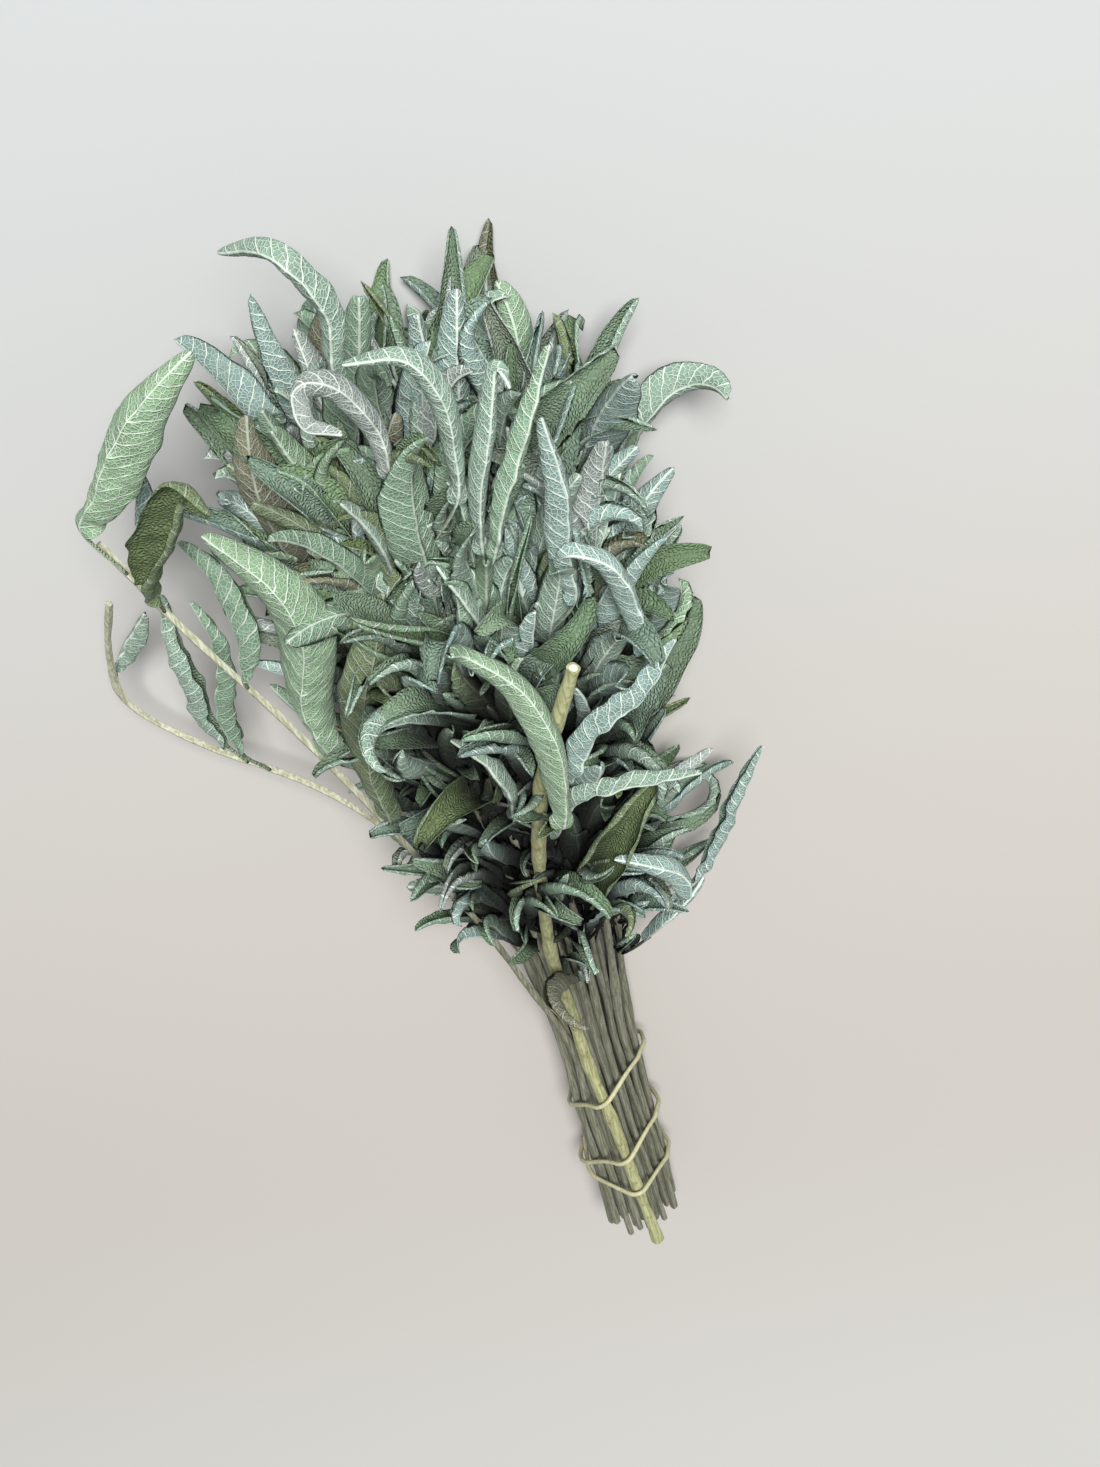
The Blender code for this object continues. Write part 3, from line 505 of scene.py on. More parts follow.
OUTER, LOW, BRANCH = "sprig_outer", "sprig_low", "cut_branch"
SHOWN_LEAVES = [
    # On the outlying stem: the broad one nearest the eye, an olive one with a bent tip, a far one.
    ShownLeaf(OUTER, 25, 35, Tone.BRIGHT, [
        (-50, 80, 67), (-51, 104, 76), (-42, 132, 86), (-44, 153, 90), (-61, 168, 80)]),
    ShownLeaf(OUTER, 17, 180, Tone.OLIVE, [
        (-80, 149, 76), (-73, 164, 84), (-63, 178, 90), (-55, 190, 95), (-49, 184, 102)]),
    ShownLeaf(OUTER, 20, 10, Tone.BRIGHT, [
        (-92, 175, 76), (-84, 186, 82), (-70, 204, 88), (-56, 216, 90), (-44, 223, 86)]),
    ShownLeaf(OUTER, 13, 0, Tone.BLUE, [(-85, 152, 64), (-85, 162, 58), (-82, 178, 52)]),
    ShownLeaf(OUTER, 12, -20, Tone.GREEN, [
        (-66, 116, 72), (-63, 132, 74), (-66, 148, 70), (-74, 158, 62)]),
    # On the low stem: two long ones that hang beside each other, and a small one at its bend.
    ShownLeaf(LOW, 12, 0, Tone.GREY, [
        (-92, 68, 33), (-97, 82, 37), (-95, 99, 43), (-94, 117, 47), (-90, 134, 46)]),
    ShownLeaf(LOW, 11, 20, Tone.GREEN, [
        (-87, 66, 36), (-88, 86, 42), (-82, 102, 48), (-78, 118, 52), (-81, 132, 50)]),
    ShownLeaf(LOW, 9, 40, Tone.GREY, [(-121, 98, 24), (-112, 110, 30), (-100, 124, 38)]),
    # On the cut branch: a large one curled over its end, and a small one.
    ShownLeaf(BRANCH, 17, 10, Tone.BRIGHT, [
        (18, 62, 91), (23, 88, 101), (23, 104, 105), (18, 121, 106), (6, 132, 103), (3, 138, 110)]),
    ShownLeaf(BRANCH, 8, 0, Tone.GREY, [(2, 57, 80), (4, 73, 90), (0, 88, 94), (-8, 97, 92)]),
    ShownLeaf(OUTER, 18, 40, Tone.OLIVE, [
        (-38, 54, 68), (-38, 76, 75), (-32, 105, 80), (-24, 123, 82), (-17, 141, 80)]),
    # Round the top of the crown: the longest, an arched one, a ribbon, and four upright ones.
    ShownLeaf(None, 10, 0, Tone.GREY, [
        (-12, 204, 82), (-9, 224, 90), (-13, 237, 93), (-21, 243, 88), (-34, 241, 76)]),
    ShownLeaf(None, 12, 0, Tone.GREY, [
        (10, 168, 88), (14, 186, 95), (15, 203, 101), (9, 216, 104), (-7, 216, 99)]),
    ShownLeaf(None, 12, 30, Tone.MAUVE, [
        (-4, 180, 90), (-3, 196, 97), (-9, 212, 103), (-18, 215, 105), (-19, 206, 108),
        (-9, 203, 110)]),
    ShownLeaf(None, 11, 0, Tone.GREY, [
        (13, 150, 84), (17, 170, 92), (24, 190, 96), (29, 206, 96), (32, 203, 101)]),
    ShownLeaf(None, 9, 0, Tone.GREEN, [(16, 150, 88), (23, 168, 95), (33, 188, 97), (43, 209, 93)]),
    ShownLeaf(None, 12, 15, Tone.BLUE, [
        (34, 130, 84), (36, 148, 90), (39, 168, 93), (37, 190, 92)]),
    ShownLeaf(None, 12, 0, Tone.BLUE, [
        (49, 106, 76), (51, 128, 86), (47, 144, 92), (38, 151, 94), (33, 148, 90)]),
    # On the right flank and low at the front.
    ShownLeaf(None, 12, 20, Tone.BLUE, [(22, 70, 82), (34, 92, 91), (48, 102, 92), (60, 116, 86)]),
    ShownLeaf(None, 21, 150, Tone.OLIVE, [(13, 2, 58), (24, 27, 66), (36, 47, 72), (47, 58, 72)]),
    ShownLeaf(None, 9, 30, Tone.GREY, [(12, 44, 76), (23, 62, 84), (37, 67, 88), (60, 64, 82)]),
    ShownLeaf(None, 9, 10, Tone.BLUE, [(48, -16, 36), (61, 0, 37), (70, 21, 40), (79, 40, 41)]),
    ShownLeaf(None, 11, 0, Tone.BLUE, [(46, 4, 60), (48, 18, 66), (38, 28, 70), (28, 31, 68)]),
]


def smooth_line(points: Sequence[Vector], count: int) -> list[Vector]:
    """Evenly spaced points along a smooth curve through the given ones.

    Args:
        points: what the curve passes.
        count: how many points to return.

    Returns:
        The points, both ends included.
    """
    ends = [points[0] * 2 - points[1], *points, points[-1] * 2 - points[-2]]
    fine = []
    for p0, p1, p2, p3 in zip(ends, ends[1:], ends[2:], ends[3:]):
        for k in range(16):
            t = k / 16
            bend = (p0 * 2 - p1 * 5 + p2 * 4 - p3) * t * t + (p1 * 3 - p0 - p2 * 3 + p3) * t ** 3
            fine.append((p1 * 2 + (p2 - p0) * t + bend) * 0.5)
    fine.append(points[-1])
    travelled = [0.0]
    for a, b in zip(fine, fine[1:]):
        travelled.append(travelled[-1] + (b - a).length)
    line, place = [], 0
    for k in range(count):
        goal = travelled[-1] * k / (count - 1)
        while place < len(fine) - 2 and travelled[place + 1] < goal:
            place += 1
        part = (goal - travelled[place]) / max(travelled[place + 1] - travelled[place], 1e-9)
        line.append(fine[place].lerp(fine[place + 1], part))
    return line


def point_at(points: Sequence[Vector], share: float) -> Vector:
    """The point this share of the way along evenly spaced points."""
    place = min(max(share, 0.0), 1.0) * (len(points) - 1)
    low = min(int(place), len(points) - 2)
    return points[low].lerp(points[low + 1], place - low)


def direction_at(points: Sequence[Vector], share: float) -> Vector:
    """The direction in which the line runs at this share of its length."""
    return (point_at(points, share + 0.02) - point_at(points, share - 0.02)).normalized()


@dataclass
class Waist:
    """The bundle that the stems make where they are tied, and how it opens above the neck."""

    cut_end: float = -0.200
    neck: float = 0.108
    crown: float = 0.330
    spread_x: float = 1.75
    spread_z: float = 1.15
    flare: float = 1.15
    rise_length: float = 0.2
    crown_lift: float = 0.030
    turn: float = math.radians(24)
    seat_count: int = 54
    spacing: float = 0.0039
    stem_radius: float = 0.0016
    thickest: float = 1.1
    branch_radius: float = 0.0028
    clearance: float = 0.0003
    band_radius: float = 0.0009
    band_gap: float = 0.0006

    def __post_init__(self) -> None:
        """Packs the stems and rests the bundle on the ground."""
        self.seats = self.hexagonal_seats()
        self.branch_angle = math.radians(CUT_BRANCH[0]) - self.turn
        self.branch = self.branch_seat()
        circles = [(seat, self.stem_radius * self.thickest) for seat in self.seats]
        circles.append((self.branch, self.branch_radius))
        self.outline = self.waist_outline(circles, self.band_radius + self.band_gap)
        self.height = self.outline_radius(-math.pi / 2) + self.band_radius + 0.0004

    def hexagonal_seats(self) -> list[Vector]:
        """The points of a hexagonal grid nearest the middle.

        Returns:
            A point for each stem, in the plane across the bundle.
        """
        seats = []
        for row in range(-7, 8):
            for column in range(-7, 8):
                x = (column + 0.5 * (row % 2)) * self.spacing
                seats.append(Vector((x, row * self.spacing * math.sqrt(0.75))))
        seats.sort(key=lambda seat: (round(seat.length, 6), round(math.atan2(seat.y, seat.x), 4)))
        return seats[:self.seat_count]

    def branch_seat(self) -> Vector:
        """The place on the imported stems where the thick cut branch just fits.

        Returns:
            The middle of the branch, in the plane across the bundle.
        """
        heading = Vector((math.cos(self.branch_angle), math.sin(self.branch_angle)))
        room = self.branch_radius + self.stem_radius * self.thickest + self.clearance
        distance = 0.010
        while min((heading * distance - seat).length for seat in self.seats) < room:
            distance += 0.0002
        return heading * distance

    def waist_outline(self, circles: Iterable[tuple[Vector, float]], margin: float) -> list[Vector]:
        """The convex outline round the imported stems, as a stretched band takes it.

        Args:
            circles: each stem's middle and radius.
            margin: how far outside them the outline runs.

        Returns:
            The outline's points, in order.
        """
        corners = []
        for seat, radius in circles:
            for k in range(16):
                angle = math.tau * k / 16
                toward = Vector((math.cos(angle), math.sin(angle)))
                corners.append(seat + toward * (radius + margin))
        return [corners[i] for i in convex_hull_2d(corners)]

    def outline_radius(self, angle: float) -> float:
        """Distance from the bundle's middle to its outline in this direction.

        Args:
            angle: the direction, in radians.

        Returns:
            The distance.
        """
        heading = Vector((math.cos(angle), math.sin(angle)))
        across = Vector((-heading.y, heading.x))
        reach = 0.0
        for start, end in zip(self.outline, self.outline[1:] + self.outline[:1]):
            a, b = start.dot(across), end.dot(across)
            if (a <= 0) != (b <= 0):
                reach = max(reach, start.lerp(end, a / (a - b)).dot(heading))
        return reach

    def fan(self, station: float) -> float:
        """How far the bunch has opened at this station: 0 at the neck, 1 at the crown."""
        return max(0.0, (station - self.neck) / (self.crown - self.neck)) ** self.flare

    def axis_height(self, station: float) -> float:
        """Height of the bundle's middle, which rises from the bands to the belly of the crown."""
        rise = min(1.0, max(0.0, (station - self.neck) / self.rise_length))
        return self.height + self.crown_lift * rise * rise * (3 - 2 * rise)

    def turn_at(self, station: float) -> float:
        """The twist that tying put into the stems, which run at a slant between the bands."""
        return self.turn * min(station, self.neck) / self.neck

    def point(self, seat: Vector, station: float) -> Vector:
        """Where the stem of this seat is at this distance from the cut ends.

        Args:
            seat: the stem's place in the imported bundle.
            station: distance from the cut ends.

        Returns:
            A point on the stem's middle line.
        """
        placed = seat.copy()
        placed.rotate(Matrix.Rotation(self.turn_at(station), 2))
        opened = self.fan(station)
        return Vector((
            placed.x * (1 + self.spread_x * opened),
            self.cut_end + station,
            self.axis_height(station) + placed.y * (1 + self.spread_z * opened),
        ))


@dataclass
class Growth:
    """The stems and leaves of the bunch, grown again by the rules of the solids."""

    waist: Waist
    stem_points: int = 29
    tip_radius: float = 0.0009
    petiole_radius: float = 0.0006
    floor_gap: float = 0.0008
    first_node: float = 0.142
    node_spacing: float = 0.0215
    node_room: float = 0.006
    leafy_top: float = 0.8
    lift_step: float = 0.0012
    tries: int = 22
    # The painted shade: its darkest level, how it lifts outwards, and where it lifts at the crown.
    darkest_painted_shade: float = 0.03
    painted_shade_ends: tuple = (0.74, 1.23)
    painted_shade_lifts_at_crown: tuple = (0.295, 0.38)
    same: float = 0.00002

    def __post_init__(self) -> None:
        """Grows the stems, and then the leaves that the solids have."""
        free = list(self.waist.seats)
        self.routed = []
        for name, (angle, stops) in OUTLYING_STEMS.items():
            aim = math.radians(angle) - self.waist.turn
            toward = Vector((math.cos(aim), math.sin(aim)))
            seat = max(free, key=lambda seat: seat.dot(toward))
            free.remove(seat)
            radius = self.waist.stem_radius
            self.routed.append(self.routed_sprig(name, seat, stops, radius, 0.0013, 0.3))
        radius = self.waist.branch_radius
        branch = self.routed_sprig(BRANCH, self.waist.branch, CUT_BRANCH[1], radius, 0.0026, 0.6)
        branch.outwards = 0.0
        self.routed.append(branch)
        self.shift = self.find_shift(branch)
        self.corners = {name: self.corner_tree(node) for name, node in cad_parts.items()}
        self.fanned = []
        for sprig in self.fanned_sprigs(free):
            name = f"sprig_{len(self.fanned) + 1:02d}"
            if name in self.corners and self.is_corner(name, self.stem_ring(sprig, 0.0)[0]):
                sprig.name = name
                self.fanned.append(sprig)
        self.sprigs = self.fanned + self.routed
        self.place_shown_leaves()
        self.place_leaves()

    # The solids' word on what grew.

    def find_shift(self, branch: Sprig) -> Vector:
        """How far the solids lie from the layout: from the middle of the cut branch's lower end."""
        points = {tuple(round(c, 6) for c in v.co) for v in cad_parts[BRANCH].data.vertices}
        end = sorted(points, key=lambda point: point[1])[:4]
        return sum((Vector(point) for point in end), Vector()) / 4 - branch.points[0]

    def corner_tree(self, node: bpy.types.Object) -> KDTree:
        """A solid's corners, to look a point up in.

        Args:
            node: the solid.

        Returns:
            The tree of its corners.
        """
        tree = KDTree(len(node.data.vertices))
        for index, vert in enumerate(node.data.vertices):
            tree.insert(vert.co, index)
        tree.balance()
        return tree

    def is_corner(self, name: str, point: Vector) -> bool:
        """True if this solid has a corner at the layout's point."""
        return self.corners[name].find(point + self.shift)[2] < self.same

    def light_at(self, points: np.ndarray) -> np.ndarray:
        """Painted shade: how far a place's colour is darkened, from the dark heart of the bunch to
        1 outside.

        Args:
            points: places in the layout, one a row.

        Returns:
            A factor for the colour of each, which paints the shade in.
        """
        waist = self.waist
        station = points[:, 1] - waist.cut_end
        beyond = (station - waist.neck) / (waist.crown - waist.neck)
        opened = np.maximum(0.0, beyond) ** waist.flare
        rise = eased(0.0, 1.0, (station - waist.neck) / waist.rise_length)
        middle = waist.height + waist.crown_lift * rise

        # How far out: 1 where the leaves' bases end, and more round the open end of the crown.
        rim = max(seat.length for seat in waist.seats)
        leafy = 0.001 + 0.013 * np.clip(opened * 2.5, 0, 1)
        wide = rim * (1 + waist.spread_x * opened) + leafy
        deep = rim * (1 + waist.spread_z * opened) + leafy
        out = np.hypot(points[:, 0] / wide, (points[:, 2] - middle) / deep)
        # The painted shade lifts round the open end of the crown, and is darkest in the heart.
        out = out + 1.2 * eased(*self.painted_shade_lifts_at_crown, station)
        return self.darkest_painted_shade + (1 - self.darkest_painted_shade) * eased(*self.painted_shade_ends, out) ** 1.6

    # Stems.

    def stem_radius(self, sprig: Sprig, share: float) -> float:
        """Half the diagonal of the square stem here."""
        return sprig.radius + (sprig.tip_radius - sprig.radius) * share

    def stem_faces(self, sprig: Sprig, share: float) -> tuple[Vector, list[Vector]]:
        """The stem's direction here, and the outward directions of its four faces.

        Args:
            sprig: whose stem.
            share: how far up the stem, from 0 to 1.

        Returns:
            The direction, and the four faces' directions.
        """
        along = direction_at(sprig.points, share)
        level = along.cross(Vector((0, 0, 1))).normalized()
        first = Quaternion(along, sprig.turn) @ level
        return along, [Quaternion(along, k * math.pi / 2) @ first for k in range(4)]

    def stem_ring(self, sprig: Sprig, share: float) -> list[Vector]:
        """The four corners of the square stem here.

        Args:
            sprig: whose stem.
            share: how far up the stem, from 0 to 1.

        Returns:
            The corners, in order.
        """
        _, faces = self.stem_faces(sprig, share)
        reach = self.stem_radius(sprig, share) * math.sqrt(0.5)
        centre = point_at(sprig.points, share)
        return [centre + (faces[k] + faces[(k + 1) % 4]) * reach for k in range(4)]

    def routed_sprig(
        self, name: str, seat: Vector, stops: list, radius: float, tip_radius: float, turn: float
    ) -> Sprig:
        """A stem that leaves its place in the bundle at the neck and passes the given points."""
        waist = [self.waist.point(seat, self.waist.neck * k / 4) for k in range(5)]
        line = smooth_line(waist + [Vector(stop) * MM for stop in stops], 2 * self.stem_points)
        return Sprig(name, line, radius, tip_radius, turn)

    def nodes_between(
        self, dice: random.Random, low: float, high: float, length: float
    ) -> list[Node]:
        """Nodes at uneven distances, each crossed with the one before, as in all mints.

        Args:
            dice: the seeded draws.
            low: share of the stem where the nodes start.
            high: share where they end.
            length: the stem's length.

        Returns:
            The nodes, in order up the stem.
        """
        nodes = []
        station = low
        crossed = dice.random() < 0.5
        while station < high:
            nodes.append(Node(station / length, crossed))
            station += self.node_spacing * dice.uniform(0.75, 1.2) * (1.2 - 0.6 * station / length)
            crossed = not crossed
        return nodes

    def fanned_sprigs(self, seats: list[Vector]) -> list[Sprig]:
        """The sprigs that fan out evenly from the neck, with their nodes but no leaves yet.

        Args:
            seats: the places of their stems in the bundle.

        Returns:
            The sprigs, in the seats' order.
        """
        sprigs = []
        rim = max(seat.length for seat in seats)
        for index, seat in enumerate(seats):
            dice = random.Random(index)
            ring = seat.length / rim
            length = 0.362 + 0.012 * (1 - ring) - 0.034 * max(0.0, seat.x / rim)
            length += dice.uniform(-0.034, 0.010)
            start = dice.uniform(0.0, 0.007)
            wander = [dice.uniform(-1, 1) for _ in range(4)]
            points = []
            for k in range(self.stem_points):
                station = start + (length - start) * k / (self.stem_points - 1)
                opened = self.waist.fan(station)
                point = self.waist.point(seat, station)
                point.x += 0.0017 * opened * (wander[0] + wander[1] * math.sin(40 * station))
                point.z += 0.0012 * opened * (wander[2] + wander[3] * math.sin(36 * station))
                points.append(point)
            sprig = Sprig(
                name=f"offered_{index}",
                points=smooth_line(points, self.stem_points),
                radius=self.waist.stem_radius * dice.uniform(0.85, self.waist.thickest),
                tip_radius=self.tip_radius,
                turn=dice.uniform(0, math.pi / 2),
                outwards=0.25 + 0.75 * ring ** 2,
            )
            first = self.first_node + dice.uniform(0, 0.03) + 0.05 * (1 - ring)
            sprig.nodes = self.nodes_between(dice, first, sprig.length - 0.003, sprig.length)
            sprigs.append(sprig)
        return sprigs

    # Leaves.

    def half_width(self, leaf: Leaf, share: float) -> float:
        """Half the leaf's width at this share of its length: a thin petiole, then the blade.

        Args:
            leaf: the leaf.
            share: how far along it, from 0 to 1.

        Returns:
            Half the width.
        """
        along_blade = (share * (leaf.petiole + leaf.blade) - leaf.petiole) / leaf.blade
        if along_blade <= 0:
            return self.petiole_radius
        along_blade = min(along_blade, 1.0)
        swell = max(math.sin(math.pi * along_blade ** 0.85), 0.0) ** 0.7
        return self.petiole_radius * (1 - along_blade) + 0.5 * leaf.width * swell

    def bent_frames(self, leaf: Leaf, start: Vector, along: Vector, out: Vector) -> Frames:
        """Walks along a leaf that bends by its angles and lies down on the ground.

        Args:
            leaf: the leaf's sizes and angles.
            start: its root.
            along: the stem's direction there.
            out: the direction in which it leaves the stem.

        Returns:
            The frames, from root to tip.
        """
        step = (leaf.petiole + leaf.blade) / STEPS
        side = along.cross(out).normalized()
        heading = (along * math.cos(leaf.lean) + out * math.sin(leaf.lean)).normalized()
        point = start.copy()
        frames = []
        for k in range(STEPS + 1):
            share = k / STEPS
            lowest = abs(side.z) * self.half_width(leaf, share) + self.floor_gap
            if point.z < lowest:
                point.z = lowest
                heading = Vector((heading.x, heading.y, max(heading.z, 0.0))).normalized()
                side = (side - heading * side.dot(heading)).normalized()
            frames.append((point.copy(), heading.copy(), side.copy(), heading.cross(side)))
            tip_share = max(0.0, share - 0.55) / 0.45
            bend = leaf.droop - 2.5 * leaf.lift * (share < 0.4) + 4.4 * leaf.curl * tip_share
            heading = Quaternion(side, bend / STEPS) @ heading
            side = Quaternion(heading, leaf.twist / STEPS) @ side
            sway = Quaternion(heading.cross(side), leaf.sway / STEPS)
            heading, side = sway @ heading, sway @ side
            point = point + heading * step
        return frames

    def routed_frames(self, leaf: Leaf, start: Vector) -> Frames:
        """Frames along a leaf that follows its route from this root.

        Args:
            leaf: the leaf with its route.
            start: its root.

        Returns:
            The frames, from root to tip.
        """
        line = smooth_line([start, *leaf.route], STEPS + 1)
        frames = []
        for k, point in enumerate(line):
            heading = direction_at(line, k / STEPS)
            height = self.waist.axis_height(point.y - self.waist.cut_end)
            inwards = (Vector((0.3 * point.x, point.y, height)) - point).normalized()
            side = Quaternion(heading, leaf.roll) @ inwards.cross(heading).normalized()
            frames.append((point, heading, side, heading.cross(side)))
        return frames

    def leaf_root(self, sprig: Sprig, node: Node, face_index: int) -> tuple[Vector, Vector, Vector]:
        """Where a leaf of this node starts, with the stem's direction and its face's.

        Args:
            sprig: whose stem.
            node: the node on it.
            face_index: which of the stem's four faces.

        Returns:
            The root, the stem's direction and the face's.
        """
        along, faces = self.stem_faces(sprig, node.share)
        out = faces[(2 * face_index + node.crossed) % 4]
        reach = self.stem_radius(sprig, node.share) * math.sqrt(0.5)
        return point_at(sprig.points, node.share) + out * reach, along, out

    def drawn_leaf(self, dice: random.Random, share: float, shrink: float) -> Leaf:
        """A leaf as chance dried it: low down small and long-stalked, high up long and upright.

        Args:
            dice: the seeded draws.
            share: how far up the leafy part it grows.
            shrink: what its size is multiplied by.

        Returns:
            The leaf.
        """
        high = min(1.0, max(0.0, (share - 0.42) / 0.45))
        blade = dice.uniform(0.024 + 0.020 * high, 0.044 + 0.022 * high) * shrink
        hooked = dice.random() < 0.34
        return Leaf(
            petiole=(dice.uniform(0.004, 0.010) + dice.uniform(0.0, 0.016) * (1 - high)) * shrink,
            blade=blade,
            width=blade * dice.uniform(0.17, 0.27),
            lean=math.radians(dice.uniform(16, 46 - 14 * high)),
            lift=math.radians(dice.uniform(0, 26)),
            droop=math.radians(dice.uniform(-24, 34)),
            curl=math.radians(dice.uniform(50, 120) if hooked else dice.uniform(-40, 45)),
            twist=math.radians(dice.uniform(-90, 90)),
            sway=math.radians(dice.uniform(-40, 40)),
            fold=math.radians(dice.uniform(14, 52)),
        )

    def facing(self, root: Vector, out: Vector) -> float:
        """How far a leaf on this face looks out of the bunch, from -1 to 1."""
        centre = Vector((0, root.y, self.waist.axis_height(root.y - self.waist.cut_end)))
        return out.dot((root - centre).normalized())

    def place_leaves(self) -> None:
        """Gives the nodes the leaves that the solids have."""
        places = []
        for index, sprig in enumerate(self.fanned):
            places += [(index, node, side) for node in sprig.nodes for side in (0, 1)]
        random.Random(7).shuffle(places)
        for index, node, side in places:
            sprig = self.fanned[index]
            if any(side == taken for taken, _, _ in node.leaves):
                continue
            dice = random.Random(1000 * index + round(500 * node.share) + side)
            root, along, out = self.leaf_root(sprig, node, side)
            chance = 0.12 + 0.55 * sprig.outwards * (1 + self.facing(root, out))
            if node.share < self.leafy_top and dice.random() > chance:
                continue
            for attempt in range(self.tries):
                leaf = self.drawn_leaf(dice, node.share, 1.0 - 0.035 * max(0, attempt - 5))
                frames = self.bent_frames(leaf, root, along, out)
                if self.is_corner(sprig.name, frames[-1][0]):
                    node.leaves.append((side, leaf, frames))
                    break

    def near_nodes(self, sprig: Sprig, share: float) -> list[Node]:
        """The nodes too near this share of the stem for another one."""
        return [n for n in sprig.nodes if abs(n.share - share) * sprig.length < self.node_room]

    def nearest_place(self, start: Vector, sprigs: list[Sprig]) -> tuple[Sprig, float]:
        """The stem and the share of it where a leaf that starts here would grow, at a slant.

        Args:
            start: the leaf's root.
            sprigs: the sprigs to choose from.

        Returns:
            The sprig, and the share of its stem.
        """
        places = []
        for sprig in sprigs:
            for k in range(30, 98):
                share = k / 100
                if any(node.leaves for node in self.near_nodes(sprig, share)):
                    continue
                gap = start - point_at(sprig.points, share)
                slant = abs(gap.normalized().dot(direction_at(sprig.points, share)) - 0.7)
                places.append((gap.length + 0.01 * slant, sprig, share))
        return min(places, key=lambda place: place[0])[1:]

    def place_shown_leaves(self) -> None:
        """Gives the leaves that stand out to their stems, each on the face nearest its route."""
        for shown in SHOWN_LEAVES:
            route = tuple(Vector(stop) * MM for stop in shown.stops)
            owner = shown.stem
            able = [s for s in self.sprigs if owner == s.name or (owner is None and s.outwards > 0)]
            sprig, share = self.nearest_place(route[0], able)
            _, faces = self.stem_faces(sprig, share)
            gap = route[0] - point_at(sprig.points, share)
            face = max(range(4), key=lambda k: faces[k].dot(gap))
            node = Node(share, bool(face % 2))
            root, _, _ = self.leaf_root(sprig, node, face // 2)
            for raised in range(9):
                moved = tuple(stop + Vector((0, 0, self.lift_step * raised)) for stop in route)
                if self.is_corner(sprig.name, moved[-1]):
                    break
            else:
                LOG.warning("a shown leaf did not grow: %s", shown.stops[0])
                continue
            line = smooth_line([root, *moved], STEPS + 1)
            total = sum((b - a).length for a, b in zip(line, line[1:]))
            stalk = (route[0] - root).length
            leaf = Leaf(
                stalk, total - stalk, shown.width * MM, fold=0.6, route=moved,
                roll=math.radians(shown.roll), tone=shown.tone,
            )
            crowding = self.near_nodes(sprig, share)
            sprig.nodes = [other for other in sprig.nodes if other not in crowding or other.leaves]
            sprig.nodes.append(node)
            sprig.nodes.sort(key=lambda n: n.share)
            node.leaves.append((face // 2, leaf, self.routed_frames(leaf, root)))


# ---------------------------------------------------------------- blades


def eased(low: float, high: float, value: np.ndarray) -> np.ndarray:
    """A smooth step from 0 at low to 1 at high."""
    t = np.clip((value - low) / (high - low), 0.0, 1.0)
    return t * t * (3 - 2 * t)


class Detail(Enum):
    """How finely a blade is made: rows along its stalk and its blade, and places across."""

    SHOWN = (6, 64, (0, .035, .09, .16, .25, .35, .45, .56, .67, .78, .87, .94, 1))
    FULL = (4, 24, (0, .09, .26, .48, .70, .88, 1))
    INNER = (3, 13, (0, .34, .70, 1))
    YOUNG = (1, 7, (0, .5, 1))


@dataclass
class Habit:
    """How one blade has dried across its width, drawn by chance within its kind's limits."""

    keel: float
    roll: float
    rim: float
    lopsided: float
    wave: float
    twist: float
    crumple: float
    seed: int

    @classmethod
    def drawn(cls, leaf: Leaf, seed: int) -> "Habit":
        """Draws a leaf's habit.

        Args:
            leaf: the leaf it is for.
            seed: starts the draws.

        Returns:
            The habit.
        """
        dice = random.Random(seed)
        broad = min(1.0, leaf.width / 0.018)
        return cls(
            keel=leaf.fold * dice.uniform(0.6, 1.1),
            roll=dice.uniform(0.8, 2.6) * (1.2 - 0.6 * broad),
            rim=dice.uniform(-0.9, 1.3),
            lopsided=dice.uniform(-0.25, 0.25),
            wave=dice.uniform(0.2, 0.8) * MM * (0.08 + 1.1 * broad * broad),
            twist=dice.uniform(-0.6, 0.6),
            crumple=dice.uniform(0.22, 0.48) * MM,
            seed=seed,
        )

    def weathered(self) -> "Habit":
        """The same habit with rolled rims and deeper crumples, as the large outer leaves have.

        Returns:
            The changed habit.
        """
        return replace(
            self, roll=self.roll + 0.3, rim=abs(self.rim) + 0.6, wave=self.wave * 1.1,
            crumple=self.crumple * 1.5, twist=self.twist * 0.4,
        )


class Skins:
    """Gathers the closed skins of leaves into one mesh, with their places and tints."""

    def __init__(self) -> None:
        """Starts with nothing."""
        self.points: list[np.ndarray] = []
        self.blades: list[np.ndarray] = []
        self.tints: list[np.ndarray] = []
        self.faces: list[tuple] = []
        self.count = 0

    def add(self, points: np.ndarray, blade: np.ndarray, tint: np.ndarray, faces: Iterable) -> None:
        """Adds a closed skin, with a tint for each point.

        Args:
            points: the skin's points.
            blade: their places on the blade.
            tint: their colours.
            faces: the numbers of each face's points, counted within this skin.
        """
        self.faces += [tuple(corner + self.count for corner in face) for face in faces]
        self.points.append(points)
        self.blades.append(blade)
        self.tints.append(tint)
        self.count += len(points)

    def mesh(self, name: str) -> bpy.types.Mesh:
        """Turns what was gathered into a smooth mesh.

        Args:
            name: the mesh's name.

        Returns:
            The mesh.
        """
        data = bpy.data.meshes.new(name)
        data.from_pydata(np.concatenate(self.points).tolist(), [], self.faces)
        blade = data.attributes.new("blade", "FLOAT_VECTOR", "POINT")
        blade.data.foreach_set("vector", np.concatenate(self.blades).ravel())
        tint = data.attributes.new("tint", "FLOAT_COLOR", "POINT")
        tint.data.foreach_set("color", np.concatenate(self.tints).ravel())
        data.shade_smooth()
        data.update()
        return data


# Crumples in a blade: waves to the millimetre along it and across it, and their share.
CRUMPLES = ((.09, .06, .6), (.05, -.14, .5), (.14, .11, .26), (.19, -.18, .09), (.26, .05, .03))


